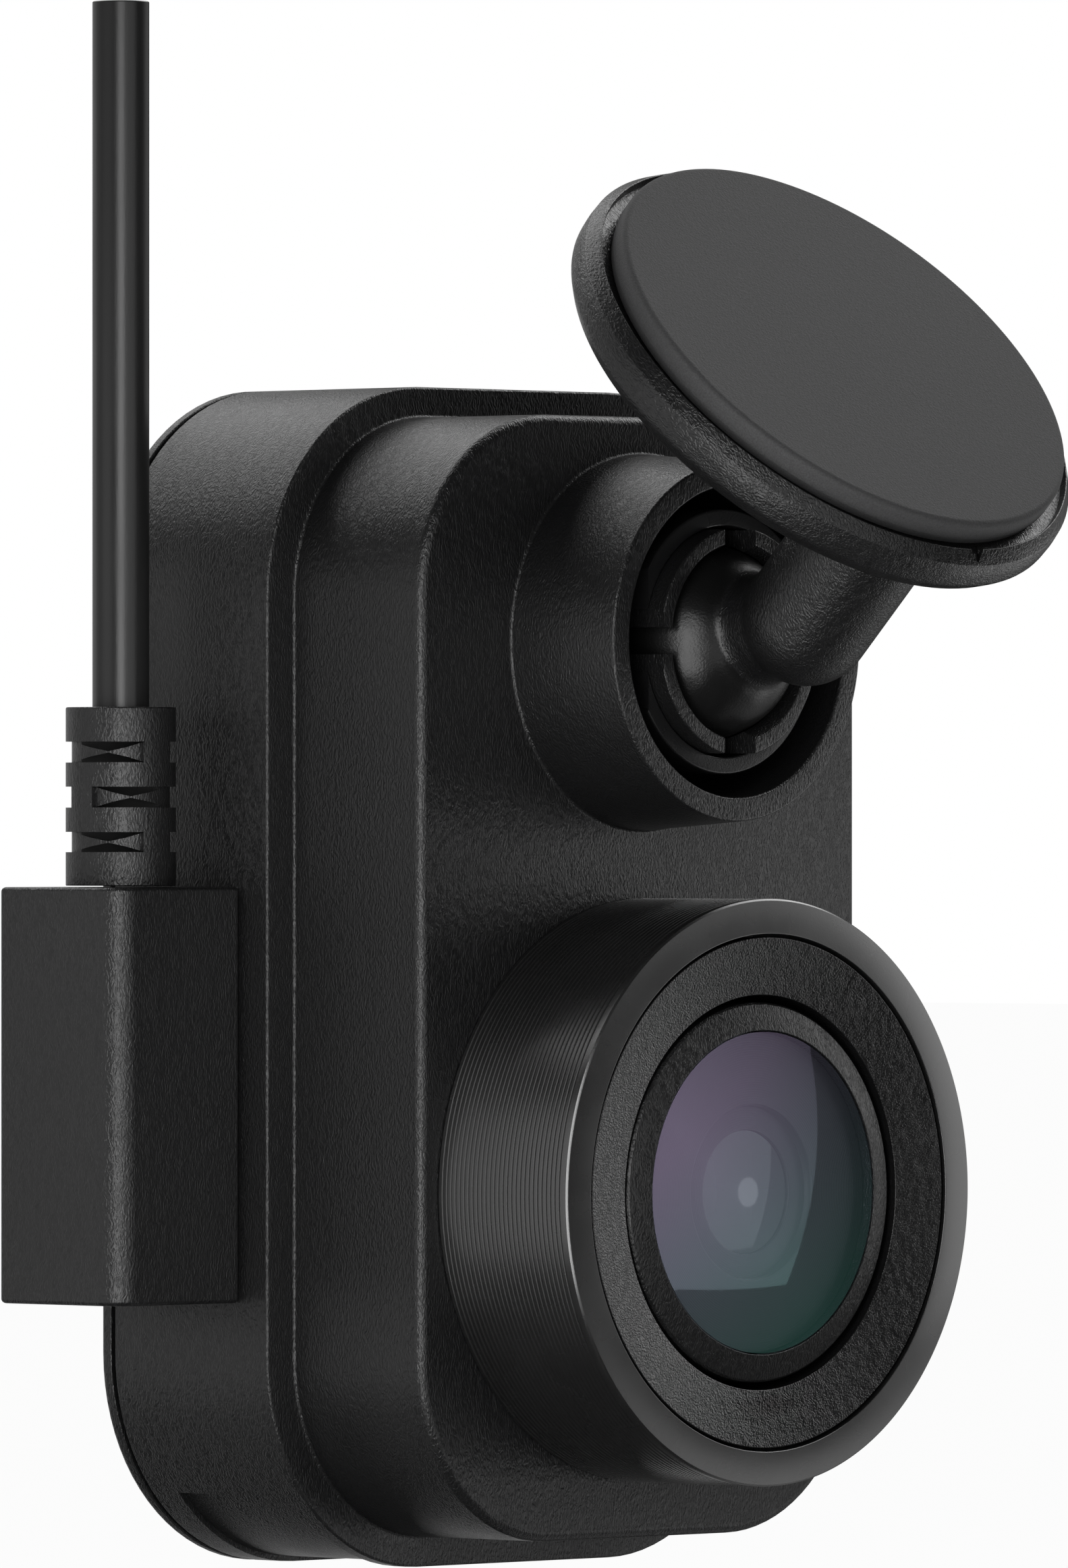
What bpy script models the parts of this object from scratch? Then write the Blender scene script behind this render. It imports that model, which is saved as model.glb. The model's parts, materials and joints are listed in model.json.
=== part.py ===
"""A small windscreen dash camera on a ball mount, with its power plug and a length of cable.

World frame: metres, origin at the centre of the adhesive pad's outer face, +Z up, lens looking along -Y.
The camera's own frame sits at the centre of its flange's front face: x right, y up, z forward.
Numbers below are millimetres; MM turns them into metres where a mesh or a place is made.
"""

import math

import bmesh
import bpy
from mathutils import Matrix

MM = 0.001
WELD = 1e-7
ROUND = 40
SMALL_ROUND = 20
CORNER_STEPS = 6
SMOOTH_ANGLE = math.radians(32)
SEAT = 0.06  # clearance where one piece seats on another

# Housing
BODY_W, BODY_H, BODY_CORNER = 31.6, 52.9, 9.6
FRONT_W, FRONT_H, FRONT_CORNER = 28.2, 50.15, 8.2
FRONT_DEPTH = 7.9
FRONT_FILLET = 0.43
REAR_DEPTH = 9.68
WALL = 1.2
COVER_GAP = 0.24
COVER_FACE = 12.8
COVER_PLATEAU_INSET = 8.5

# Lens group, on an axis below the middle
LENS_UP = -9.52
BARREL_R = 13.05
BARREL_FRONT = 15.81
BARREL_BORE_R = 11.47
LENS_HOLE_R = 10.0
CELL_BORE_R = 4.95
THREAD_R = 6.0

# Ball socket, on an axis above the middle
SOCKET_UP = 14.97
SOCKET_RIM = 13.81
SOCKET_BORE_R = 6.95
SOCKET_FLOOR = 4.6
BALL_R = 4.4
BALL_FORWARD = 11.5
SEAT_R = BALL_R + SEAT
CUP_R = SEAT_R + 0.5
WASHER_SEAT_R = CUP_R + SEAT

# Mount: from the ball forward to the elbow, then up the stem to the disc
NECK_R = 2.4
STEM_R = 2.95
ELBOW_FORWARD, ELBOW_UP = 18.0, 15.9
STEM_LENGTH = 9.4
DISC_SHIFT = 6.92
DISC_TILT = math.radians(45)
DISC_UNDERSIDE = -2.6
PAD_R = 11.45
PAD_FACE = 0.89
PAD_BASE = -0.39
NOTCH = [(-0.5, 0), (0.5, 0), (0, -1.1)]  # a small V through the disc's chamfer, at its lowest point

# Boards and connectors
BOARD_FRONT, BOARD_BACK = -3.0, -4.0
SENSOR_BOARD_FRONT, SENSOR_BOARD_BACK = 0.2, -0.6
POSTS = [(side * 10.6, end * 20.4) for side in (-1, 1) for end in (-1, 1)]
USB_UP, USB_FORWARD = -5.18, -5.34
PLUG_X, PLUG_TOP, PLUG_BOTTOM = -19.66, 4.05, -14.44
PLUG_LEFT, PLUG_RIGHT = -23.58, -15.88
CARD_FORWARD = -4.95
BUTTON_UP = -2.0
LIGHTS_UP = 13.0
MICROPHONE = (9.3, -9.0)
CABLE_R = 1.265
CABLE_TOP = 43.4


def clear_scene():
    for obj in list(bpy.data.objects):
        bpy.data.objects.remove(obj)


# ---- shapes ----


def rounded_rect(width, height, radius, steps=CORNER_STEPS):
    """Corner points of a rounded rectangle about the origin, anticlockwise, from one radius or four."""
    radii = radius if isinstance(radius, tuple) else (radius,) * 4
    points = []
    for quarter, (sx, sy) in enumerate(((1, 1), (-1, 1), (-1, -1), (1, -1))):
        corner = radii[quarter]
        for step in range(steps + 1):
            angle = math.pi / 2 * (quarter + step / steps)
            x = sx * (width / 2 - corner) + corner * math.cos(angle)
            y = sy * (height / 2 - corner) + corner * math.sin(angle)
            points.append((x, y))
    return points


def arc(radius, centre, start, end, steps):
    """(r, z) points on a circle centred on the axis at z = centre; angles in degrees from +z."""
    points = []
    for step in range(steps + 1):
        angle = math.radians(start + (end - start) * step / steps)
        points.append((radius * math.sin(angle), centre + radius * math.cos(angle)))
    return points


def sag(radius, r):
    return radius - math.sqrt(radius * radius - r * r)


def dome(edge_r, edge_z, curve_r, steps=5):
    """(r, z) points over a lens surface, from its edge to its crown on the axis."""
    crown = edge_z + sag(curve_r, edge_r)
    radii = [edge_r * (1 - step / steps) for step in range(steps + 1)]
    return [(r, crown - sag(curve_r, r)) for r in radii]


def turned(profile, segments=ROUND):
    """A (r, z) profile spun about z: open from axis to axis, or else a closed loop."""
    bm = bmesh.new()
    verts = [bm.verts.new((r, 0, z)) for r, z in profile]
    on_axis = profile[0][0] == 0 and profile[-1][0] == 0
    following = verts[1:] if on_axis else verts[1:] + verts[:1]
    edges = [bm.edges.new(pair) for pair in zip(verts, following)]
    bmesh.ops.spin(
        bm, geom=verts + edges, axis=(0, 0, 1), cent=(0, 0, 0), angle=math.tau, steps=segments, use_merge=True
    )
    return bm


def stacked(sections, steps=CORNER_STEPS):
    """Rounded rectangles (width, height, radius, z) joined in order, closed at both ends."""
    bm = bmesh.new()
    loops = []
    for width, height, radius, z in sections:
        loops.append([bm.verts.new((x, y, z)) for x, y in rounded_rect(width, height, radius, steps)])
    count = len(loops[0])
    for lower, upper in zip(loops, loops[1:]):
        for i in range(count):
            j = (i + 1) % count
            bm.faces.new((lower[i], lower[j], upper[j], upper[i]))
    bm.faces.new(loops[0])
    bm.faces.new(loops[-1])
    return bm


def block(width, height, z0, z1, radius=0.15, steps=1):
    """A box about the z axis, with its four upright edges rounded."""
    return stacked([(width, height, radius, z0), (width, height, radius, z1)], steps)


def prism(outline, z0, z1):
    bm = bmesh.new()
    base = bm.faces.new([bm.verts.new((x, y, z0)) for x, y in outline])
    made = bmesh.ops.extrude_face_region(bm, geom=[base])
    top = [item for item in made["geom"] if isinstance(item, bmesh.types.BMVert)]
    bmesh.ops.translate(bm, verts=top, vec=(0, 0, z1 - z0))
    return bm


def rods(places, radius, z0, z1, segments=12):
    """Upright cylinders at several (x, y) places, in one mesh, for joining or cutting together."""
    bm = bmesh.new()
    for x, y in places:
        made = bmesh.ops.create_cone(
            bm, cap_ends=True, segments=segments, radius1=radius, radius2=radius, depth=z1 - z0
        )
        bmesh.ops.translate(bm, verts=made["verts"], vec=(x, y, (z0 + z1) / 2))
    return bm


# ---- objects ----


def material(name, colour, roughness, metallic=0.0, transmission=0.0):
    found = bpy.data.materials.get(name)
    if found:
        return found
    made = bpy.data.materials.new(name)
    made.use_nodes = True
    shader = made.node_tree.nodes["Principled BSDF"]
    shader.inputs["Base Color"].default_value = (*colour, 1)
    shader.inputs["Roughness"].default_value = roughness
    shader.inputs["Metallic"].default_value = metallic
    shader.inputs["Transmission Weight"].default_value = transmission
    return made


def grained_black():
    return material("grained_black", (0.022, 0.022, 0.023), 0.52)


def satin_black():
    return material("satin_black", (0.045, 0.045, 0.046), 0.38)


def inner_black():
    return material("inner_black", (0.01, 0.01, 0.01), 0.7)


def pad_grey():
    return material("pad_grey", (0.055, 0.055, 0.056), 0.8)


def cable_black():
    return material("cable_black", (0.018, 0.018, 0.018), 0.4)


def coated_glass():
    return material("coated_glass", (0.55, 0.6, 0.66), 0.03, transmission=0.9)


def clear_plastic():
    return material("clear_plastic", (0.85, 0.87, 0.9), 0.15, transmission=0.8)


def board_green():
    return material("board_green", (0.01, 0.09, 0.035), 0.45)


def chip_black():
    return material("chip_black", (0.02, 0.02, 0.022), 0.4)


def plated_steel():
    return material("plated_steel", (0.62, 0.63, 0.64), 0.3, metallic=1)


def copper():
    return material("copper", (0.8, 0.42, 0.24), 0.35, metallic=1)


def add(name, bm, surface, parent, at=(0, 0, 0)):
    """One named object from a mesh in millimetres, closed, facing outward, placed in its parent's frame."""
    bmesh.ops.scale(bm, vec=(MM, MM, MM), verts=bm.verts)
    bmesh.ops.remove_doubles(bm, verts=bm.verts, dist=WELD)
    bmesh.ops.recalc_face_normals(bm, faces=bm.faces)
    mesh = bpy.data.meshes.new(name)
    bm.to_mesh(mesh)
    bm.free()
    mesh.shade_smooth()
    mesh.set_sharp_from_angle(angle=SMOOTH_ANGLE)
    mesh.materials.append(surface)
    obj = bpy.data.objects.new(name, mesh)
    bpy.context.scene.collection.objects.link(obj)
    obj.parent = parent
    obj.location = [value * MM for value in at]
    return obj


def pivot(name, parent=None, at=(0, 0, 0), rotation=(0, 0, 0)):
    obj = bpy.data.objects.new(name, None)
    obj.empty_display_size = 4 * MM
    bpy.context.scene.collection.objects.link(obj)
    obj.parent = parent
    obj.location = [value * MM for value in at]
    obj.rotation_euler = rotation
    return obj


def shape(target, operation, bm, at, solver):
    """Joins a helper mesh to the target (UNION) or takes it away (DIFFERENCE)."""
    helper = add(f"{target.name}_{operation.lower()}", bm, target.data.materials[0], target, at)
    helper.hide_render = True
    helper.display_type = "WIRE"
    modifier = target.modifiers.new(operation.lower(), "BOOLEAN")
    modifier.operation = operation
    modifier.solver = solver
    modifier.object = helper


def cut(target, bm, at=(0, 0, 0), solver="EXACT"):
    shape(target, "DIFFERENCE", bm, at, solver)


def join(target, bm, at=(0, 0, 0), solver="EXACT"):
    shape(target, "UNION", bm, at, solver)


# ---- mount: the side that stays on the windscreen ----


def make_mount(disc_frame, ball_centre):
    make_disc(disc_frame)
    pad_profile = [
        (0, PAD_BASE), (PAD_R - 0.12, PAD_BASE), (PAD_R, 0), (PAD_R, 0.55), (PAD_R - 0.06, 0.78),
        (PAD_R - 0.24, PAD_FACE), (0, PAD_FACE),
    ]
    add("adhesive_pad", turned(pad_profile), pad_grey(), disc_frame)
    make_arm(disc_frame, ball_centre)


def make_disc(frame):
    rim = [
        (11.8, DISC_UNDERSIDE), (12.3, -2.35), (12.5, -1.8), (12.54, -1.2), (12.5, -0.62), (12.0, 0),
    ]
    well = [(11.93, PAD_BASE - SEAT), (0, PAD_BASE - SEAT)]
    disc = add("mount_disc", turned([(0, DISC_UNDERSIDE)] + rim + well), grained_black(), frame)
    cut(disc, turned([(0, -4), (1.9, -4), (1.9, -1.1), (0, -1.1)], SMALL_ROUND), at=(0, -DISC_SHIFT, 0))
    cut(disc, prism(NOTCH, -0.42, 0.6), at=(0, -PAD_R - SEAT, 0))


def make_arm(frame, ball_centre):
    """Ball and neck turned about one axis, joined to a stem with a rounded foot."""
    reach = math.hypot(ELBOW_FORWARD - BALL_FORWARD, ELBOW_UP - SOCKET_UP)
    rise = math.atan2(ELBOW_UP - SOCKET_UP, ELBOW_FORWARD - BALL_FORWARD)
    neck_angle = math.degrees(math.asin(NECK_R / BALL_R))
    ball = arc(BALL_R, 0, 180, neck_angle, 11)
    neck = [(NECK_R, reach - 2), (NECK_R + 0.2, reach), (0, reach)]
    neck_frame = pivot("neck_frame", None, ball_centre, (math.pi / 2 - rise, 0, 0))
    profile = [(0, -BALL_R)] + ball[1:] + neck
    arm = add("mount_arm", turned(profile, 24), grained_black(), neck_frame)
    top = STEM_LENGTH + DISC_UNDERSIDE - SEAT
    foot = arc(STEM_R, 0, 180, 90, 5)
    tenon = [(STEM_R, top), (1.8, top), (1.8, top + 1.2), (0, top + 1.2)]
    stem = turned([(0, -STEM_R)] + foot[1:] + tenon, 24)
    lean = -(math.pi / 2 - rise - DISC_TILT)
    bmesh.ops.rotate(stem, verts=stem.verts, cent=(0, 0, 0), matrix=Matrix.Rotation(lean, 3, "X"))
    join(arm, stem, at=(0, 0, reach))


# ---- ball socket ----


def make_socket(axis, tilt_pivot, pan_pivot):
    make_socket_ring(axis)
    make_collet(axis)
    cup = arc(CUP_R, 0, 180, 148, 5)
    cup_inside = arc(SEAT_R, 0, 148, 180, 5)
    add("ball_cup", turned(cup + cup_inside, SMALL_ROUND), satin_black(), tilt_pivot)
    hole_r, seat_edge_r, outer_r = 1.6, 4.05, 4.3
    back = BALL_FORWARD - 6.1
    inner = 180 - math.degrees(math.asin(hole_r / WASHER_SEAT_R))
    outer = 180 - math.degrees(math.asin(seat_edge_r / WASHER_SEAT_R))
    seat = arc(WASHER_SEAT_R, 0, outer, inner, 5)
    washer = [(hole_r, -back), (outer_r, -back), (outer_r, seat[0][1])] + seat
    add("thrust_washer", turned(washer, SMALL_ROUND), satin_black(), pan_pivot)
    low, high, thick = SOCKET_FLOOR + 0.1 - BALL_FORWARD, -back - SEAT, 0.3
    spring = [(1.9, high - thick), (4.1, low), (4.1, low + thick), (1.9, high)]
    add("disc_spring", turned(spring, SMALL_ROUND), plated_steel(), pan_pivot)


def make_socket_ring(axis):
    """The sleeve round the collet, with a foot on the socket's floor and a flat on either side."""
    foot = SOCKET_FLOOR + SEAT
    profile = [
        (4.42, foot), (6.85, foot), (6.85, 5.6), (5.9, 5.6), (5.9, 12.97), (5.84, 13.05), (5.2, 13.05),
        (5.15, 12.97), (5.15, 9.24), (4.42, 9.24),
    ]
    ring = add("socket_ring", turned(profile), grained_black(), axis)
    for side in (-1, 1):
        cut(ring, block(2, 14, 5.6, 14, 0.01), at=(side * 5.96, 0, 0))


def make_collet(axis):
    """The slotted ring of fingers that grips the ball."""
    base, mouth, tip = 9.3, 13.2, 13.96
    reach = [BALL_FORWARD - base, mouth - BALL_FORWARD]
    start = 180 - math.degrees(math.acos(reach[0] / SEAT_R))
    end = math.degrees(math.acos(reach[1] / SEAT_R))
    seat = arc(SEAT_R, BALL_FORWARD, end, start, 7)
    outside = [(5.08, base), (5.08, tip)]
    collet = add("socket_collet", turned(outside + [(4.4, tip)] + seat), grained_black(), axis)
    cut(collet, block(2.0, 14, 10.4, 15, 0.01))
    cut(collet, block(14, 1.2, 10.4, 15, 0.01))
    for side in (-1, 1):
        cut(collet, block(2, 14, 8, 15, 0.01), at=(side * 5.9, 0, 0))


# ---- housing ----


def inset_section(inset, z):
    return (BODY_W - 2 * inset, BODY_H - 2 * inset, max(BODY_CORNER - inset, 1.1), z)


def make_front_housing(frame):
    front_inner = (FRONT_W - 2 * WALL, FRONT_H - 2 * WALL, FRONT_CORNER - WALL)
    front_outer = (FRONT_W, FRONT_H, FRONT_CORNER)
    sections = [
        (*front_inner, FRONT_DEPTH - WALL), (*front_inner, -WALL), inset_section(WALL, -WALL),
        inset_section(WALL, -REAR_DEPTH), inset_section(0.08, -REAR_DEPTH),
        inset_section(0, -REAR_DEPTH + 0.08), inset_section(0, -0.1), inset_section(0.1, 0),
        (*front_outer, 0),
    ]
    for step in range(4):
        angle = math.radians(30 * step)
        inset = FRONT_FILLET * (1 - math.cos(angle))
        z = FRONT_DEPTH - FRONT_FILLET * (1 - math.sin(angle))
        sections.append((FRONT_W - 2 * inset, FRONT_H - 2 * inset, FRONT_CORNER - inset, z))
    housing = add("front_housing", stacked(sections), grained_black(), frame)
    join(housing, rods(POSTS, 1.7, BOARD_FRONT + SEAT, FRONT_DEPTH - 0.9))
    boss = [
        (0, SOCKET_FLOOR - 1), (8.2, SOCKET_FLOOR - 1), (8.2, 6.8), (8.46, 7.3), (8.0, 13.72),
        (7.92, SOCKET_RIM), (0, SOCKET_RIM),
    ]
    join(housing, turned(boss), at=(0, SOCKET_UP, 0))
    bore = [(0, SOCKET_FLOOR), (SOCKET_BORE_R, SOCKET_FLOOR), (SOCKET_BORE_R, 15), (0, 15)]
    cut(housing, turned(bore), at=(0, SOCKET_UP, 0), solver="MANIFOLD")
    cut(housing, turned([(0, 5), (LENS_HOLE_R, 5), (LENS_HOLE_R, 9), (0, 9)]), at=(0, LENS_UP, 0),
        solver="MANIFOLD")
    cut(housing, rods(POSTS, 0.62, BOARD_FRONT - 1, 2.4, 10), solver="MANIFOLD")
    cut(housing, block(4, 8.4, -1.7, 1.7, 0.5, 3), at=(-BODY_W / 2, USB_UP, USB_FORWARD),
        solver="MANIFOLD")
    cut(housing, card_recess(), solver="MANIFOLD")
    cut(housing, block(11.8, 4, -0.75, 0.75, 0.2), at=(0, -BODY_H / 2, CARD_FORWARD),
        solver="MANIFOLD")


def card_recess(depth=0.25, top=-22.8):
    """A shallow step round the foot of the housing, where a fingertip reaches the memory card."""
    def lower(offset):
        size = (BODY_W + 2 * offset, BODY_H + 2 * offset, BODY_CORNER + offset)
        return [point for point in rounded_rect(*size, 14) if point[1] < top]

    return prism(lower(1.0) + lower(-depth)[::-1], -7.98, -0.8)


def cover_sections():
    """Inside of the rear cover, round its lip, and out over the crowned back."""
    inner = [inset_section(9.6, -11.5), inset_section(5.0, -11.1), inset_section(2.3, -10.3)]
    lip = [inset_section(2.3, -8.7), inset_section(1.3, -8.7)]
    seam = -(REAR_DEPTH + COVER_GAP)
    edge = [inset_section(1.3, seam), inset_section(0.06, seam), inset_section(0, seam - 0.06)]
    edge += [inset_section(0, seam - 0.4), inset_section(0.12, seam - 0.55)]
    crown = []
    for step in range(1, 7):
        share = step / 6
        rise = 1 - (1 - share) ** 2.2
        z = -(10.55 + (COVER_FACE - 10.55) * rise)
        crown.append(inset_section(0.12 + (COVER_PLATEAU_INSET - 0.12) * share, z))
    return inner + lip + edge + crown


def make_rear_cover(frame):
    cover = add("rear_cover", stacked(cover_sections()), grained_black(), frame)
    cut(cover, block(12.8, 8.8, -14, -10, 4.3, 8), at=(0, BUTTON_UP, 0))
    lights = [(x, LIGHTS_UP) for x in (-4, 0, 4)]
    cut(cover, rods(lights, 0.86, -14, -10))
    cut(cover, rods([MICROPHONE], 0.45, -14, -10))


def make_save_button(frame):
    """A stadium cap that stands proud, with a flange behind the cover and a stem down to the switch."""
    cap_w, cap_h, cap_r = 12.4, 8.4, 4.15
    sections = [
        (2.4, 2.4, 1.1, -6.99), (2.4, 2.4, 1.1, -10.7), (cap_w + 1.8, cap_h + 1.8, cap_r + 0.9, -10.7),
        (cap_w + 1.8, cap_h + 1.8, cap_r + 0.9, -11.4), (cap_w, cap_h, cap_r, -11.4),
        (cap_w, cap_h, cap_r, -12.95), (cap_w - 0.5, cap_h - 0.5, cap_r - 0.25, -13.2),
    ]
    add("save_button", stacked(sections, 6), satin_black(), frame, at=(0, BUTTON_UP, 0))


# ---- lens group ----


def make_lens_group(axis):
    ring = [
        (8.9, 6.9), (9.9, 6.9), (9.9, FRONT_DEPTH + SEAT), (BARREL_R, FRONT_DEPTH + SEAT),
        (BARREL_R, BARREL_FRONT - 0.12), (BARREL_R - 0.12, BARREL_FRONT), (BARREL_BORE_R, BARREL_FRONT),
        (BARREL_BORE_R, 13.1), (10.6, 13.1), (10.6, 9.4), (8.9, 9.4),
    ]
    add("lens_ring", turned(ring), satin_black(), axis)
    dish_r = BARREL_BORE_R - 0.08
    dish = [
        (8.74, 13.16), (dish_r, 13.16), (dish_r, 15.67), (dish_r - 0.06, 15.74), (8.8, 15.34), (8.74, 15.28),
    ]
    add("lens_dish", turned(dish), grained_black(), axis)
    bezel = [(7.2, 14.38), (8.5, 14.38), (8.5, 15.24), (8.28, 15.44), (7.26, 15.44), (7.2, 15.38)]
    add("lens_bezel", turned(bezel), grained_black(), axis)
    make_lens_cell(axis)
    make_lens_elements(axis)
    make_lens_holder(axis)


def make_lens_cell(axis):
    """The lens's metal tube: a wide head in front, a threaded tail behind."""
    outside = [
        (4.3, 3.2), (THREAD_R - 0.3, 3.2), (THREAD_R, 3.5), (THREAD_R, 9.9), (8.35, 9.9), (8.35, 14.32),
    ]
    inside = [(7.3, 14.32), (7.3, 12.1), (CELL_BORE_R, 12.1), (CELL_BORE_R, 5.0), (4.3, 5.0)]
    add("lens_cell", turned(outside + inside, SMALL_ROUND), inner_black(), axis)


def make_lens_elements(axis):
    """Front meniscus, spacer, second lens, aperture stop, third lens and rear lens, from front to back."""
    rim = CELL_BORE_R - SEAT
    front = dome(5.6, 13.02, 11.5)[::-1] + [(7.15, 13.02), (7.15, 14.72)] + dome(7.1, 14.77, 27.0)
    add("front_lens", turned(front), coated_glass(), axis)
    spacer = [(4.2, 12.16), (7.15, 12.16), (7.15, 12.96), (5.7, 12.96), (3.83, 12.5), (3.83, 12.16)]
    add("lens_spacer", turned(spacer, SMALL_ROUND), inner_black(), axis)
    second = [(0, 10.3), (rim, 10.3), (rim, 12.08), (3.8, 12.08)] + dome(3.7, 12.1, 14.0)
    add("second_lens", turned(second, SMALL_ROUND), coated_glass(), axis)
    stop = [(2.65, 9.98), (rim, 9.9), (rim, 10.22), (2.65, 10.06)]
    add("aperture_stop", turned(stop, SMALL_ROUND), inner_black(), axis)
    third = [(0, 8.1), (rim, 8.1), (rim, 9.84), (0, 9.84)]
    add("third_lens", turned(third, SMALL_ROUND), coated_glass(), axis)
    rear = [(0, 5.06), (rim, 5.06), (rim, 7.4)] + dome(rim - 0.4, 7.45, 30.0)
    add("rear_lens", turned(rear, SMALL_ROUND), coated_glass(), axis)


def make_lens_holder(axis):
    holder = add("lens_holder", block(14.4, 14.4, 0.26, 3.1, 1.0, 3), inner_black(), axis)
    join(holder, turned([(0, 2.6), (7.15, 2.6), (7.15, 8.4), (0, 8.4)], SMALL_ROUND))
    cut(holder, turned([(0, 2.7), (THREAD_R + SEAT, 2.7), (THREAD_R + SEAT, 9), (0, 9)], SMALL_ROUND))
    cut(holder, block(10.4, 8.8, -1, 1.9, 0.3))
    cut(holder, block(7.2, 7.2, 1.5, 3.0, 0.3))
    add("infrared_filter", block(8.1, 8.1, 2.76, 3.06), coated_glass(), axis)
    add("image_sensor", block(8.6, 7.0, SENSOR_BOARD_FRONT + 0.04, 1.2), chip_black(), axis)
    add("sensor_board", block(17, 17, SENSOR_BOARD_BACK, SENSOR_BOARD_FRONT, 1.5, 3), board_green(), axis)
    add("sensor_connector", block(9.4, 2.6, -1.74, SENSOR_BOARD_BACK - 0.04), chip_black(), axis)
    add("board_connector", block(9.4, 2.6, BOARD_FRONT + 0.04, -1.8), chip_black(), axis)


# ---- main board and what it carries ----


def make_main_board(frame):
    outline = block(28.2, 49.6, BOARD_BACK, BOARD_FRONT, 7.9, CORNER_STEPS)
    board = add("main_board", outline, board_green(), frame)
    cut(board, rods(POSTS, 0.85, -5, -2))
    for number, (x, up) in enumerate(POSTS, 1):
        screw = [
            (0, -4.7), (0.5, -4.9), (1.25, -4.9), (1.3, -4.5), (1.3, -4.06), (0.55, -4.06), (0.55, 0.2),
            (0, 0.6),
        ]
        add(f"board_screw_{number}", turned(screw, 12), plated_steel(), frame, at=(x, up, 0))
    make_front_side_chips(frame)
    make_rear_side_parts(frame)


def make_front_side_chips(frame):
    seat = BOARD_FRONT + 0.04
    for name, width, height, thick, x, up in (
        ("processor", 10, 10, 0.95, -4.2, 6.2),
        ("memory_chip", 7, 9, 0.85, 5.6, 6.2),
        ("power_inductor", 3.6, 3.6, 1.8, 9.0, 15.0),
        ("motion_sensor", 2.5, 3.0, 0.8, -8.8, 15.2),
    ):
        add(name, block(width, height, seat, seat + thick), chip_black(), frame, at=(x, up, 0))
    add("thermal_pad", block(9, 9, -1.96, -1.18), pad_grey(), frame, at=(-4.2, 6.2, 0))
    can = add("shield_can", block(20.4, 11.8, seat, -0.9, 0.6, 2), plated_steel(), frame, at=(0, 6.2, 0))
    cut(can, block(20.0, 11.4, seat - 1, -1.1, 0.4, 2))
    coin = [(0, seat), (4.0, seat), (4.3, seat + 0.3), (4.3, seat + 2.2), (4.0, seat + 2.5), (0, seat + 2.5)]
    add("backup_capacitor", turned(coin, SMALL_ROUND), plated_steel(), frame, at=(0, 18.2, 0))


def make_rear_side_parts(frame):
    seat = BOARD_BACK - 0.04
    switch = add("tact_switch", block(4.6, 4.6, -6.0, seat, 0.3), chip_black(), frame, at=(0, BUTTON_UP, 0))
    cut(switch, rods([(0, 0)], 1.06, -7, -5.0))
    plunger = [(0, -5.4), (1.0, -5.4), (1.0, -6.8), (0.9, -6.9), (0, -6.9)]
    add("switch_plunger", turned(plunger, 16), pad_grey(), frame, at=(0, BUTTON_UP, 0))
    for name, x in (("recording", -4), ("wireless", 0), ("microphone", 4)):
        place = (x, LIGHTS_UP, 0)
        add(f"{name}_led", block(1.6, 0.9, seat - 0.6, seat, 0.1), clear_plastic(), frame, at=place)
        pipe = [
            (0, -12.75), (0.78, -12.75), (0.78, -11.0), (1.3, -11.0), (1.3, -10.6), (0.78, -10.6),
            (0.7, -4.9), (0, -4.9),
        ]
        add(f"{name}_light_pipe", turned(pipe, 12), clear_plastic(), frame, at=place)
    add("microphone", block(3.8, 3.0, seat - 1, seat), plated_steel(), frame, at=(*MICROPHONE, 0))
    boot = [(0.5, -11.1), (1.3, -11.1), (1.9, -7.8), (1.9, -5.1), (0.5, -5.1)]
    add("microphone_boot", turned(boot, 16), pad_grey(), frame, at=(*MICROPHONE, 0))
    add("wifi_antenna", block(0.25, 18, -8.4, -4.5, 0.05), copper(), frame, at=(14.25, 8, 0))
    make_card_and_socket(frame)
    make_usb_socket(frame)


def make_card_and_socket(frame):
    """The card is pushed in from below and stands a little inside the housing's foot."""
    card_end, card_length, cage_length = -10.85, 15, 14.6
    back, front = CARD_FORWARD - 0.8, BOARD_BACK - 0.05
    middle = card_end + 1.05 - cage_length / 2
    shell = block(12.7, cage_length, back, front, 0.3)
    cage = add("card_socket", shell, plated_steel(), frame, at=(0, middle, 0))
    cut(cage, block(11.25, 15, back + 0.3, front - 0.3, 0.1), at=(0, card_end + 0.75 - 7.5 - middle, 0))
    card_middle = card_end - card_length / 2
    card = add("memory_card", block(11, card_length, back + 0.4, front - 0.4, 0.6, 2), chip_black(), frame,
               at=(0, card_middle, 0))
    cut(card, block(1.6, 3.2, back, front, 0.1), at=(5.6, 6.0, 0))


def make_usb_socket(frame):
    x0, x1 = -14.35, -8.8
    middle = ((x0 + x1) / 2, USB_UP, USB_FORWARD)
    socket = add("usb_socket", block(x1 - x0, 7.8, -1.29, 1.29, 0.4, 2), plated_steel(), frame, at=middle)
    cut(socket, block(x1 - x0, 7.15, -1.05, 1.05, 0.2), at=(-0.6, 0, 0))


# ---- power plug and cable; this frame has the world's directions ----


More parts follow.
